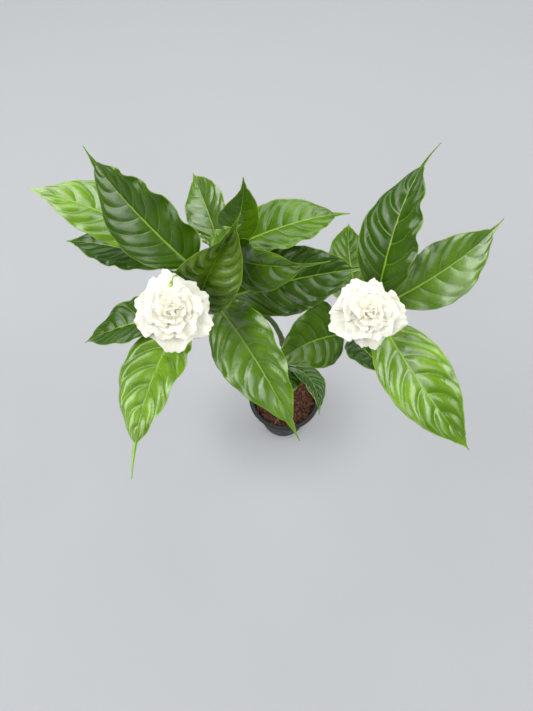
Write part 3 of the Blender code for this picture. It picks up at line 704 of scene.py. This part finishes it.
POT_HEIGHT = 65.0
SOIL_TOP = 55.0
SOIL_RADIUS = 34.0
CHIPS_RADIUS = 33.6
CHIP_ROWS = 5
CHIP_SIDES = 8
POT_SIDES = 128
SOIL_SIDES = 96
DRAIN_HOLES = 6
DRAIN_HOLE_RADIUS = 3.5
DRAIN_HOLE_SIDES = 24
DRAIN_CIRCLE_RADIUS = 19.0
POT_PROFILE = (
    (0.5, 0), (12, 0), (23.6, 0), (24.6, 0.15), (25.5, 0.7), (26.0, 1.6), (27.6, 14), (29.3, 27), (31.4, 41),
    (34.7, 55.4), (35.3, 55.7), (36.1, 55.9), (36.45, 56.3), (36.5, 57.0), (36.5, 61.6), (36.7, 62.5),
    (37.4, 62.9), (39.6, 63.0), (40.3, 63.3), (40.5, 63.9), (40.3, 64.6), (39.6, 65.0), (37.6, 64.9),
    (36.2, 64.6), (35.5, 63.8), (35.3, 62.5), (35.3, 57.2), (34.9, 56.4), (34.2, 55.8), (30.2, 41),
    (28.1, 27), (26.3, 14), (24.8, 2.8), (24.0, 1.5), (22.8, 1.2), (12, 1.2), (0.5, 1.2),
)


def make_pot(material):
    """The pot: its outline turned about Z, a little out of round, with holes cut in its base."""
    outline = smooth_outline(POT_PROFILE)
    turn = around(POT_SIDES)[None, :]
    radius, height = outline[:, :1], outline[:, 1:]
    sway = 1 + 0.004 * np.sin(2 * turn + 0.6) * (height / POT_HEIGHT) + 0.0015 * np.sin(5 * turn + 2)
    uneven = 0.12 * np.sin(3 * turn + 1) * smoothstep(height, 40, 65)
    rings = np.stack([radius * sway * np.cos(turn), radius * sway * np.sin(turn), height + uneven], axis=-1)
    pot = put_mesh("pot_shell", *round_skin(rings, {"height": height / POT_HEIGHT}), material)
    for index in range(DRAIN_HOLES):
        angle = TAU * index / DRAIN_HOLES
        spot = np.array([math.cos(angle), math.sin(angle), 0]) * DRAIN_CIRCLE_RADIUS
        path = spot + np.array([[0, 0, -3.0], [0, 0, 5.0]])
        rod = tube_rings(path, [DRAIN_HOLE_RADIUS] * 2, DRAIN_HOLE_SIDES)
        cutter = put_mesh("drain_cutter", *round_skin(rod, {}), material)
        step = pot.modifiers.new("drain", "BOOLEAN")
        step.operation = "DIFFERENCE"
        step.solver = "EXACT"
        step.object = cutter
        bpy.context.view_layer.objects.active = pot
        bpy.ops.object.modifier_apply(modifier=step.name)
        bpy.data.objects.remove(cutter, do_unlink=True)
    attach(pot, "root")
    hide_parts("pot")


def smooth_outline(profile):
    """The profile with two more points in each stretch, on the straight line between its ends."""
    points = np.array(profile, float)
    count = len(points)
    where = np.linspace(0, count - 1, (count - 1) * 3 + 1)
    return np.stack([np.interp(where, np.arange(count), points[:, axis]) for axis in range(2)], axis=1)


def soil_height(x, y):
    """Height of the soil's top: a low crown, with lumps of two sizes."""
    away = np.hypot(x, y)
    crown = 1 - (away / SOIL_RADIUS) ** 2
    return SOIL_TOP + crown + 0.7 * waves(x / 5, y / 5, 71) + 0.4 * waves(x / 2, y / 2, 72)


def make_soil(material):
    """The block of potting mix: a turned block inside the pot, with a lumpy top."""
    turn = around(SOIL_SIDES)[None, :]
    below = np.array([(0.5, 1.5), (12, 1.5), (22.6, 1.5), (24.2, 3.2), (27.8, 27), (32.6, 53.0),
                      (SOIL_RADIUS, 54.5)])
    top = np.linspace(SOIL_RADIUS, 0.4, 46)[1:, None]
    rings = [np.stack([r * np.cos(turn[0]), r * np.sin(turn[0]), z + 0 * turn[0]], axis=-1) for r, z in below]
    x, y = top * np.cos(turn), top * np.sin(turn)
    upper = np.stack([x, y, soil_height(x, y) - 0.8 * smoothstep(top, SOIL_RADIUS - 3, SOIL_RADIUS)], axis=-1)
    rings = np.concatenate([np.array(rings), upper])
    soil = put_mesh("soil_block", *round_skin(rings, {"tint": 0.25}), material)
    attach(soil, "root")
    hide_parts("soil")


def make_chips(count, seed, material):
    """Loose chips on the soil: small rounded blocks, each a squashed and dented ball of its own size, turned
    any way and laid where the soil's top is."""
    draw = np.random.default_rng(seed)
    polar = np.linspace(0.35, np.pi - 0.35, CHIP_ROWS)[:, None]
    turn = around(CHIP_SIDES)[None, :]
    level = np.sin(polar)
    ball = np.stack([level * np.cos(turn), level * np.sin(turn), np.cos(polar) + 0 * turn], axis=-1)
    ball = np.sign(ball) * np.abs(ball) ** 0.7
    parts = []
    for _ in range(count):
        away = CHIPS_RADIUS * math.sqrt(draw.uniform(0.015, 1))
        angle = draw.uniform(0, TAU)
        x, y = away * math.cos(angle), away * math.sin(angle)
        size = np.array([draw.uniform(1.2, 3.6), draw.uniform(0.8, 1.8), draw.uniform(0.4, 1.0)])
        size *= draw.uniform(0.6, 1.15)
        spin, tip, lean = draw.uniform(0, TAU), draw.normal(0, 0.35), draw.normal(0, 0.35)
        dent = 1 + 0.22 * waves(ball[..., 0] * 2 + x, ball[..., 1] * 2 + ball[..., 2] + y, int(away * 100))
        shape = ball * dent[..., None] * size
        turned = shape @ turning(spin, tip, lean)
        height = float(soil_height(x, y)) + draw.uniform(-0.3, 0.9)
        parts.append(round_skin(turned + np.array([x, y, height]), {"tint": draw.uniform(0, 1)}))
    chips = put_mesh("soil_chips", *joined(parts), material)
    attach(chips, "root")


def turning(spin, tip, lean):
    """Rotation matrix: about Z, then X, then Y."""
    about_z = np.array([[math.cos(spin), math.sin(spin), 0], [-math.sin(spin), math.cos(spin), 0], [0, 0, 1]])
    about_x = np.array([[1, 0, 0], [0, math.cos(tip), math.sin(tip)], [0, -math.sin(tip), math.cos(tip)]])
    about_y = np.array([[math.cos(lean), 0, -math.sin(lean)], [0, 1, 0], [math.sin(lean), 0, math.cos(lean)]])
    return about_z @ about_x @ about_y


# Materials

# Scales of the patterns, per metre, and fixed colours. Bark turns from brown to green between two heights
# in metres, and the floor has faint patches that are a share darker
BLACK = (0, 0, 0, 1)
LEAF_SHADES = ("Blade", "Blade Light", "Vein", "Back", "Back Vein")
LEAF_GLOSS = 0.17
LEAF_MOTTLE_SCALE = 38.0
LEAF_GRAIN_SCALE = 420.0
LEAF_NET_SCALE = 430.0
PETAL_CREASES = 46.0
PALE_TUBE = (0.75, 0.8, 0.6)
PALE_BUD = (0.55, 0.74, 0.08)
BROWN_BELOW = 0.10
GREEN_ABOVE = 0.27
FLOOR_SHADE = 0.97


class Sheet:
    """A node tree being filled: makes nodes, sets their values and links what is given to their inputs."""

    def __init__(self, tree):
        self.tree = tree

    def node(self, kind, inputs=None, **settings):
        made = self.tree.nodes.new(kind)
        for key, value in settings.items():
            setattr(made, key, value)
        for key, value in (inputs or {}).items():
            self.put(made.inputs[key], value)
        return made

    def put(self, socket, value):
        if isinstance(value, bpy.types.NodeSocket):
            self.tree.links.new(value, socket)
        else:
            socket.default_value = value

    def math(self, operation, *values, clamp=False):
        made = self.node("ShaderNodeMath", dict(enumerate(values)), operation=operation, use_clamp=clamp)
        return made.outputs[0]

    def times(self, value, factor):
        return self.math("MULTIPLY", value, factor)

    def times_plus(self, value, factor, more, clamp=False):
        return self.math("MULTIPLY_ADD", value, factor, more, clamp=clamp)

    def ramp(self, value, low, high, to_low=0.0, to_high=1.0):
        inputs = {0: value, 1: low, 2: high, 3: to_low, 4: to_high}
        return self.node("ShaderNodeMapRange", inputs, interpolation_type="SMOOTHSTEP").outputs[0]

    def mix(self, factor, first, second):
        made = self.node("ShaderNodeMix", {0: factor}, data_type="RGBA")
        for key, colour in ((6, first), (7, second)):
            self.put(made.inputs[key], (*colour, 1.0) if isinstance(colour, tuple) else colour)
        return made.outputs[2]

    def field(self, name):
        return self.node("ShaderNodeAttribute", attribute_type="GEOMETRY", attribute_name=name).outputs["Fac"]

    def noise(self, scale, detail=3.0, rough=0.5, vector=None):
        inputs = {"Scale": scale, "Detail": detail, "Roughness": rough}
        if vector is None:
            vector = self.node("ShaderNodeTexCoord").outputs["Object"]
        inputs["Vector"] = vector
        return self.node("ShaderNodeTexNoise", inputs).outputs[0]


def new_group(name, inputs, outputs):
    """An empty shader node group with named sockets, and its input and output nodes."""
    tree = bpy.data.node_groups.new(name, "ShaderNodeTree")
    for socket, kind, value in inputs:
        made = tree.interface.new_socket(socket, in_out="INPUT", socket_type=kind)
        made.default_value = value
    for socket, kind in outputs:
        tree.interface.new_socket(socket, in_out="OUTPUT", socket_type=kind)
    sheet = Sheet(tree)
    return sheet, sheet.node("NodeGroupInput").outputs, sheet.node("NodeGroupOutput").inputs


def leaf_pattern_group():
    """Colour, roughness and height of a leaf: midrib, side veins, fine net of veins, mottling, painted shade
    in the troughs along the side veins, a pale margin that is a painted highlight of the thin edge, and a
    paler matt back, all from the fields stored on the leaf."""
    colour, number = "NodeSocketColor", "NodeSocketFloat"
    sheet, given, result = new_group(
        "leaf_pattern",
        [(shade, colour, BLACK) for shade in LEAF_SHADES] + [("Gloss", number, LEAF_GLOSS)],
        [("Color", colour), ("Roughness", number), ("Height", number)],
    )
    vein, reach, run = sheet.field("vein"), sheet.field("reach"), sheet.field("run")
    edge, back, blade = sheet.field("edge"), sheet.field("back"), sheet.field("blade")
    distance = sheet.math("PINGPONG", vein, 0.5)
    away = sheet.math("ABSOLUTE", reach)
    outwards = sheet.ramp(away, 0.0, 24.0)
    line_width = sheet.times_plus(outwards, -0.035, 0.065)
    veins = sheet.ramp(sheet.math("DIVIDE", distance, line_width), 1.0, 0.2)
    veins = sheet.times(veins, blade)
    # Painted shade: the blade is darkened towards each side vein, in the troughs of the quilting
    vein_trough_painted_shade = sheet.ramp(distance, 0.3, 0.0)
    rib_width = sheet.times_plus(run, -0.7, 0.95)
    rib = sheet.ramp(sheet.math("DIVIDE", away, rib_width), 1.15, 0.55)
    # Painted highlight: a pale line along the margin, where the thin curled edge catches light, mixed towards
    # the vein colour
    margin = sheet.ramp(edge, 1.1, 0.2)
    coarse = sheet.noise(LEAF_MOTTLE_SCALE, 3.0, 0.55)
    fine = sheet.noise(LEAF_GRAIN_SCALE, 4.0, 0.6)
    where = {"Vector": sheet.node("ShaderNodeTexCoord").outputs["Object"], "Scale": LEAF_NET_SCALE}
    net = sheet.node("ShaderNodeTexVoronoi", where, feature="DISTANCE_TO_EDGE").outputs[0]
    net_lines = sheet.ramp(net, 0.10, 0.0)
    tone = sheet.ramp(coarse, 0.35, 0.68)
    tone = sheet.times_plus(fine, 0.18, sheet.times(tone, 0.62), clamp=True)
    tone = sheet.times_plus(vein_trough_painted_shade, -0.30, tone, clamp=True)
    surface = sheet.mix(tone, given["Blade"], given["Blade Light"])
    surface = sheet.mix(sheet.times(net_lines, 0.10), surface, given["Blade Light"])
    surface = sheet.mix(sheet.times(veins, 0.32), surface, given["Vein"])
    surface = sheet.mix(sheet.times(margin, 0.6), surface, given["Vein"])
    rib_share = sheet.times(rib, sheet.ramp(run, 1.0, 0.4, 0.35, 0.9))
    surface = sheet.mix(rib_share, surface, given["Vein"])
    tip = sheet.ramp(run, 0.84, 0.97)
    surface = sheet.mix(sheet.times(tip, 0.35), surface, given["Blade Light"])
    under = sheet.mix(sheet.times(fine, 0.35), given["Back"], given["Blade Light"])
    under = sheet.mix(sheet.times(sheet.math("MAXIMUM", veins, rib), 0.75), under, given["Back Vein"])
    # The same painted highlight along the margin on the back
    under = sheet.mix(sheet.times(margin, 0.6), under, given["Back Vein"])
    sheet.put(result["Color"], sheet.mix(back, surface, under))
    rough = sheet.times_plus(coarse, 0.16, given["Gloss"])
    rough = sheet.times_plus(rib, 0.12, rough)
    rough = sheet.times_plus(back, 0.28, rough, clamp=True)
    sheet.put(result["Roughness"], rough)
    height = sheet.times(net_lines, -0.25)
    height = sheet.times_plus(fine, 0.35, height)
    height = sheet.times_plus(veins, -0.6, height)
    height = sheet.times_plus(sheet.noise(150.0, 2.0, 0.5), 0.8, height)
    sheet.put(result["Height"], height)
    return sheet.tree


def principled(name, roughness, **fixed):
    """A material with its Principled shader, whose constant values are set on its own sockets."""
    material = bpy.data.materials.new(name)
    material.use_nodes = True
    shader = material.node_tree.nodes["Principled BSDF"]
    shader.inputs["Roughness"].default_value = roughness
    for socket, value in fixed.items():
        shader.inputs[socket.replace("_", " ")].default_value = value
    return material, Sheet(material.node_tree), shader


def add_bump(sheet, shader, height, strength, distance):
    """A bump of the given height field on the shader's normal."""
    bump = sheet.node("ShaderNodeBump", {"Height": height, "Strength": strength, "Distance": distance})
    sheet.put(shader.inputs["Normal"], bump.outputs[0])


def leaf_material(name, group, colours, gloss, shine):
    """A glossy leaf finish in one tone; the younger leaves shine more."""
    material, sheet, shader = principled(name, 0.35, Specular_IOR_Level=shine)
    pattern = sheet.node("ShaderNodeGroup", node_tree=group)
    for shade, colour in zip(LEAF_SHADES, colours):
        pattern.inputs[shade].default_value = (*colour, 1.0)
    pattern.inputs["Gloss"].default_value = gloss
    sheet.put(shader.inputs["Base Color"], pattern.outputs["Color"])
    sheet.put(shader.inputs["Roughness"], pattern.outputs["Roughness"])
    add_bump(sheet, shader, pattern.outputs["Height"], 0.35, 0.0004)
    return material


def petal_material(colour, cream_and_fold_shade, throat_colour):
    """Soft white petals with fine creases along them, creamier at the throat, and creamier and darker deep in
    their folds: partly the petals' cream, partly painted shade.
    """
    material, sheet, shader = principled(
        "petal_white_ruffled", 0.6, Subsurface_Weight=0.4, Subsurface_Scale=0.003,
        Subsurface_Radius=(1.0, 0.95, 0.75),
    )
    fold, run, across = sheet.field("fold"), sheet.field("run"), sheet.field("across")
    # Painted shade: towards the fold colour in the troughs of the folds, more near the petal's foot than at
    # its rim
    deep = sheet.ramp(fold, 0.1, -1.1)
    deep = sheet.times(deep, sheet.ramp(run, 1.0, 0.2, 0.45, 1.0))
    surface = sheet.mix(deep, colour, cream_and_fold_shade)
    surface = sheet.mix(sheet.ramp(run, 0.22, 0.02, 0.0, 0.8), surface, throat_colour)
    surface = sheet.mix(sheet.times(sheet.noise(260.0, 4.0), 0.35), surface, cream_and_fold_shade)
    sheet.put(shader.inputs["Base Color"], surface)
    creases = sheet.math("SINE", sheet.times(across, PETAL_CREASES))
    height = sheet.times_plus(creases, 0.3, sheet.noise(330.0, 5.0, 0.6))
    add_bump(sheet, shader, height, 0.3, 0.0003)
    return material


def green_material(name, colour, dark_colour, pale_colour):
    """Tender green skin of stalks and buds, whitening where the flower's tube begins."""
    material, sheet, shader = principled(name, 0.42)
    surface = sheet.mix(sheet.ramp(sheet.noise(190.0, 3.0), 0.35, 0.7), colour, dark_colour)
    surface = sheet.mix(sheet.field("pale"), surface, pale_colour)
    sheet.put(shader.inputs["Base Color"], surface)
    add_bump(sheet, shader, sheet.noise(900.0, 3.0), 0.3, 0.0003)
    return material


def bark_material(green, brown, fleck):
    """Young bark: green towards the tips, browner and flecked with pale pores lower down."""
    material, sheet, shader = principled("stem_bark", 0.6)
    where = sheet.node("ShaderNodeTexCoord").outputs["Object"]
    height = sheet.node("ShaderNodeSeparateXYZ", {0: where}).outputs["Z"]
    stretch = sheet.node("ShaderNodeMapping", {"Vector": where, "Scale": (1.0, 1.0, 0.25)}).outputs[0]
    grain = sheet.noise(900.0, 4.0, 0.6, stretch)
    low = sheet.ramp(height, GREEN_ABOVE, BROWN_BELOW)
    surface = sheet.mix(sheet.times_plus(grain, 0.3, low, clamp=True), green, brown)
    pores = sheet.node("ShaderNodeTexVoronoi", {"Vector": stretch, "Scale": 480.0}).outputs["Distance"]
    pores = sheet.ramp(pores, 0.26, 0.16)
    surface = sheet.mix(sheet.times(pores, 0.6), surface, fleck)
    sheet.put(shader.inputs["Base Color"], surface)
    bumps = sheet.times_plus(pores, 0.6, grain)
    add_bump(sheet, shader, bumps, 0.5, 0.0005)
    return material


def soil_material(dark, light):
    """Moist reddish-brown potting mix, each chip of its own shade."""
    material, sheet, shader = principled("soil_mix", 0.85, Specular_IOR_Level=0.2)
    tint = sheet.times_plus(sheet.noise(500.0, 4.0, 0.65), 0.7, sheet.times(sheet.field("tint"), 0.6))
    surface = sheet.mix(sheet.ramp(tint, 0.25, 0.95), dark, light)
    sheet.put(shader.inputs["Base Color"], surface)
    rough = sheet.ramp(sheet.noise(260.0, 2.0), 0.3, 0.7, 0.62, 0.95)
    sheet.put(shader.inputs["Roughness"], rough)
    add_bump(sheet, shader, sheet.noise(1100.0, 5.0, 0.7), 0.8, 0.0009)
    return material


def pot_material(colour, dust_colour):
    """Thin black moulded plastic: faint waviness, finer scuffs, and soil dust in patches and grains."""
    material, sheet, shader = principled("pot_black_plastic", 0.4, Specular_IOR_Level=0.28)
    where = sheet.node("ShaderNodeTexCoord").outputs["Object"]
    scuff = sheet.noise(140.0, 5.0, 0.65)
    dust = sheet.times(sheet.ramp(sheet.noise(60.0, 6.0, 0.7), 0.5, 0.8), 0.4)
    grains = sheet.node("ShaderNodeTexVoronoi", {"Vector": where, "Scale": 700.0}).outputs["Distance"]
    grains = sheet.times(sheet.ramp(grains, 0.2, 0.12), sheet.ramp(sheet.noise(45.0), 0.5, 0.62))
    dust = sheet.math("MAXIMUM", dust, sheet.times(grains, 0.7))
    surface = sheet.mix(dust, colour, dust_colour)
    sheet.put(shader.inputs["Base Color"], surface)
    rough = sheet.times_plus(dust, 0.4, sheet.ramp(scuff, 0.3, 0.7, 0.36, 0.55), clamp=True)
    sheet.put(shader.inputs["Roughness"], rough)
    height = sheet.times_plus(scuff, 0.4, sheet.noise(45.0, 2.0))
    add_bump(sheet, shader, height, 0.25, 0.0008)
    return material


def floor_material(colour):
    """Plain pale matt floor."""
    material, sheet, shader = principled("floor_pale", 0.9)
    surface = sheet.mix(sheet.noise(6.0, 2.0), colour, tuple(part * FLOOR_SHADE for part in colour))
    sheet.put(shader.inputs["Base Color"], surface)
    return material


# Settings that a user would change


def colour_setting(name, description, default):
    return FloatVectorProperty(
        name=name, description=description, default=default, size=3, min=0, max=1, subtype="COLOR",
    )


# Tones of green: name, label, which leaves have it, its darker and lighter colour, and how much they shine
Tone = namedtuple("Tone", "name label leaves dark light shine")
TONES = (
    Tone("deep", "Deep green", "old leaves", (0.028, 0.080, 0.0003), (0.058, 0.138, 0.0008), 0.5),
    Tone("mid", "Green", "full-grown leaves", (0.047, 0.122, 0.0004), (0.105, 0.228, 0.0015), 0.5),
    Tone("bright", "Bright green", "younger leaves", (0.060, 0.150, 0.0005), (0.130, 0.270, 0.002), 0.95),
    Tone("fresh", "Fresh green", "youngest leaves", (0.082, 0.190, 0.0007), (0.190, 0.370, 0.004), 0.95),
    Tone("dull", "Shaded green", "leaves low down", (0.018, 0.060, 0.002), (0.042, 0.112, 0.005), 0.5),
    Tone("olive", "Olive green", "crumpled leaf", (0.046, 0.104, 0.001), (0.125, 0.235, 0.004), 0.5),
)

# Soft lights all round, high up: name, place in metres, share of the set power
SOFTBOXES = (
    ("left_softbox", (-1.44, -0.13, 1.7), 1.3),
    ("back_left_softbox", (-1.08, 0.97, 1.75), 0.7),
    ("back_softbox", (0.0, 1.45, 1.75), 0.55),
    ("back_right_softbox", (1.08, 0.97, 1.75), 0.85),
    ("right_softbox", (1.44, -0.13, 1.8), 1.2),
    ("front_left_softbox", (-1.0, -1.15, 1.45), 0.75),
    ("front_right_softbox", (1.0, -1.25, 1.45), 0.45),
)


class LeafSettings(bpy.types.PropertyGroup):
    quilt: FloatProperty(
        name="Quilting", description="How high the blade swells between its side veins",
        default=1.75 * MM, min=0, max=3 * MM, unit="LENGTH",
    )
    gloss: FloatProperty(
        name="Roughness", description="Roughness of the upper side",
        default=LEAF_GLOSS, min=0, max=1, subtype="FACTOR",
    )
    # The vein colours also paint the pale highlight line along the leaf margins, on the top and on the back
    vein: colour_setting("Veins", "Colour of the midrib and veins", (0.230, 0.420, 0.010))
    back: colour_setting("Underside", "Colour of the underside", (0.060, 0.120, 0.015))
    back_vein: colour_setting("Underside veins", "Colour of the underside's veins", (0.180, 0.300, 0.050))


for tone in TONES:
    LeafSettings.__annotations__[tone.name] = colour_setting(
        tone.label, f"Darker colour of the {tone.leaves}", tone.dark,
    )
    LeafSettings.__annotations__[tone.name + "_light"] = colour_setting(
        tone.label + ", light", f"Lighter colour of the {tone.leaves}", tone.light,
    )


class StemSettings(bpy.types.PropertyGroup):
    green: colour_setting("Green bark", "Colour of the young upper stems", (0.090, 0.170, 0.025))
    brown: colour_setting("Brown bark", "Colour of the older lower stem", (0.085, 0.075, 0.028))
    fleck: colour_setting("Pores", "Colour of the small pores in the bark", (0.340, 0.300, 0.190))


class FlowerSettings(bpy.types.PropertyGroup):
    ruffle: FloatProperty(
        name="Ruffle", description="Height of the ruffles, as a share of the usual",
        default=1.0, min=0, max=2,
    )
    petal: colour_setting("Petals", "Colour of the petals", (0.930, 0.915, 0.800))
    # The fold colour is cream, and deep in the petals' folds it also stands for painted shade
    fold: colour_setting("Folds", "Colour deep in the folds", (0.915, 0.845, 0.590))
    throat: colour_setting("Throat", "Colour at the petals' feet", (0.900, 0.810, 0.520))
    green: colour_setting("Stalks and buds", "Colour of the stalks and buds", (0.260, 0.460, 0.040))
    green_dark: colour_setting("Stalks and buds, dark", "Their darker colour", (0.140, 0.300, 0.025))


class PotSettings(bpy.types.PropertyGroup):
    plastic: colour_setting("Plastic", "Colour of the pot", (0.009, 0.010, 0.010))
    dust: colour_setting("Dust", "Colour of soil dust on the pot", (0.060, 0.040, 0.028))
    soil_dark: colour_setting("Dark soil", "Colour of the moist mix", (0.016, 0.006, 0.003))
    soil_light: colour_setting("Light soil", "Colour of the lighter chips", (0.115, 0.047, 0.023))
    chips: IntProperty(
        name="Chips", description="How many loose chips lie on the soil", default=520, min=0, max=1500,
    )


class StageSettings(bpy.types.PropertyGroup):
    floor: colour_setting("Floor", "Colour of the floor", (0.385, 0.395, 0.41))
    power: FloatProperty(
        name="Light", description="Power of a soft light with a share of 1", default=19, min=0, unit="POWER",
    )
    softbox: FloatProperty(
        name="Softbox", description="Diameter of each soft light", default=1.35, min=0.1, unit="LENGTH",
    )
    room: FloatProperty(name="Room light", description="Strength of the even light", default=0.10, min=0)


SETTINGS = {
    "jasmine_leaves": LeafSettings,
    "jasmine_stems": StemSettings,
    "jasmine_flowers": FlowerSettings,
    "jasmine_pot": PotSettings,
    "jasmine_stage": StageSettings,
}


# Operators


def chosen(values, *names):
    """The colours that are set under these names, as plain tuples."""
    return [tuple(getattr(values, name)) for name in names]


class BuildPot(bpy.types.Operator):
    """Builds the nursery pot, the potting mix and the loose chips on it"""

    bl_idname = "jasmine.build_pot"
    bl_label = "Pot and soil"

    def execute(self, context):
        values = context.scene.jasmine_pot
        make_pot(pot_material(*chosen(values, "plastic", "dust")))
        soil = soil_material(*chosen(values, "soil_dark", "soil_light"))
        make_soil(soil)
        make_chips(values.chips, 5, soil)
        return {"FINISHED"}


class BuildStems(bpy.types.Operator):
    """Builds the main stem, its branches and their twigs"""

    bl_idname = "jasmine.build_stems"
    bl_label = "Stems"

    def execute(self, context):
        values = context.scene.jasmine_stems
        bark = bark_material(*chosen(values, "green", "brown", "fleck"))
        for seed, stem in enumerate(STEMS):
            make_stem(stem, seed, bark)
        return {"FINISHED"}


class BuildLeaves(bpy.types.Operator):
    """Builds every leaf with its veins, quilting and waved margins"""

    bl_idname = "jasmine.build_leaves"
    bl_label = "Leaves"

    def execute(self, context):
        values = context.scene.jasmine_leaves
        group = leaf_pattern_group()
        finishes = {}
        for tone in TONES:
            shades = chosen(values, tone.name, tone.name + "_light", "vein", "back", "back_vein")
            finishes[tone.name] = leaf_material("leaf_" + tone.name, group, shades, values.gloss, tone.shine)
        for seed, leaf in enumerate(LEAVES):
            make_leaf(leaf, seed, values.quilt / MM, finishes[leaf.tone])
        return {"FINISHED"}


class BuildFlowers(bpy.types.Operator):
    """Builds the two double flowers with their stalks"""

    bl_idname = "jasmine.build_flowers"
    bl_label = "Flowers"

    def execute(self, context):
        values = context.scene.jasmine_flowers
        petal = petal_material(*chosen(values, "petal", "fold", "throat"))
        green = green_material("stalk_green", *chosen(values, "green", "green_dark"), PALE_TUBE)
        for flower in FLOWERS:
            make_flower(flower, values.ruffle, petal, green)
        return {"FINISHED"}


class BuildBuds(bpy.types.Operator):
    """Builds the closed buds with their stalks"""

    bl_idname = "jasmine.build_buds"
    bl_label = "Buds"

    def execute(self, context):
        values = context.scene.jasmine_flowers
        green = green_material("bud_green_skin", *chosen(values, "green", "green_dark"), PALE_BUD)
        for bud in BUDS:
            make_bud(bud, green)
        return {"FINISHED"}


# The floor's outline in millimetres, its top just under the pot. The lights' aim and the camera in metres
FLOOR_SIDES = 96
FLOOR_PROFILE = ((4000.0, -20.0), (4000.0, -0.2), (1500.0, -0.2))
LIGHT_AIM = (-0.02, -0.03, 0.25)
ROOM_COLOUR = (0.93, 0.96, 1.0, 1.0)
CAMERA_PLACE = (-0.0206, -0.237, 0.633)
CAMERA_DOWN = 63
CAMERA_LENS = 27.19
CAMERA_SENSOR = 36.0


class BuildStage(bpy.types.Operator):
    """Sets out the floor, the lights and the camera"""

    bl_idname = "jasmine.build_stage"
    bl_label = "Floor, lights and camera"

    def execute(self, context):
        values = context.scene.jasmine_stage
        make_floor(tuple(values.floor))
        for name, place, share in SOFTBOXES:
            make_area(name, place, values.softbox, share * values.power)
        world = bpy.data.worlds.new("soft_room")
        world.use_nodes = True
        light = world.node_tree.nodes["Background"]
        light.inputs["Color"].default_value = ROOM_COLOUR
        light.inputs["Strength"].default_value = values.room
        context.scene.world = world
        context.scene.view_settings.view_transform = "Standard"
        make_camera()
        return {"FINISHED"}


def make_floor(colour):
    """A level round floor under the pot."""
    turn = around(FLOOR_SIDES)
    rings = []
    for radius, height in FLOOR_PROFILE:
        rings.append(np.stack([radius * np.cos(turn), radius * np.sin(turn), height + 0 * turn], axis=1))
    floor = put_mesh("floor", *round_skin(np.array(rings), {}), floor_material(colour))


def make_area(name, place, size, power):
    """A large soft light that points at the middle of the plant."""
    data = bpy.data.lights.new(name, "AREA")
    data.shape = "DISK"
    data.size = size
    data.energy = power
    light = bpy.data.objects.new(name, data)
    light.location = place
    light.rotation_euler = (Vector(LIGHT_AIM) - Vector(place)).to_track_quat("-Z", "Y").to_euler()
    bpy.context.scene.collection.objects.link(light)


def make_camera():
    """The camera: above and in front of the plant, looking down."""
    data = bpy.data.cameras.new("camera")
    data.sensor_width = CAMERA_SENSOR
    data.lens = CAMERA_LENS
    data.clip_start = 0.01
    data.clip_end = 20.0
    camera = bpy.data.objects.new("camera", data)
    camera.location = CAMERA_PLACE
    camera.rotation_euler = (math.radians(90 - CAMERA_DOWN), 0, 0)
    bpy.context.scene.collection.objects.link(camera)
    bpy.context.scene.camera = camera


class JasminePanel(bpy.types.Panel):
    """Lists the pieces of the plant and their settings"""

    bl_idname = "VIEW3D_PT_jasmine"
    bl_label = "Potted crape jasmine"
    bl_space_type = "VIEW_3D"
    bl_region_type = "UI"
    bl_category = "Jasmine"

    def draw(self, context):
        for operator in OPERATORS:
            self.layout.operator(operator.bl_idname)
        for name, group in SETTINGS.items():
            box = self.layout.box()
            for key in group.__annotations__:
                box.prop(getattr(context.scene, name), key)


OPERATORS = (BuildPot, BuildStems, BuildLeaves, BuildFlowers, BuildBuds, BuildStage)
CLASSES = (*SETTINGS.values(), *OPERATORS, JasminePanel)


def register():
    for item in CLASSES:
        bpy.utils.register_class(item)
    for name, group in SETTINGS.items():
        setattr(bpy.types.Scene, name, PointerProperty(type=group))


def unregister():
    for name in SETTINGS:
        delattr(bpy.types.Scene, name)
    for item in reversed(CLASSES):
        bpy.utils.unregister_class(item)


def main():
    register()
    bpy.ops.jasmine.build_pot()
    bpy.ops.jasmine.build_stems()
    bpy.ops.jasmine.build_leaves()
    bpy.ops.jasmine.build_flowers()
    bpy.ops.jasmine.build_buds()
    bpy.ops.jasmine.build_stage()


if __name__ == "__main__":
    main()
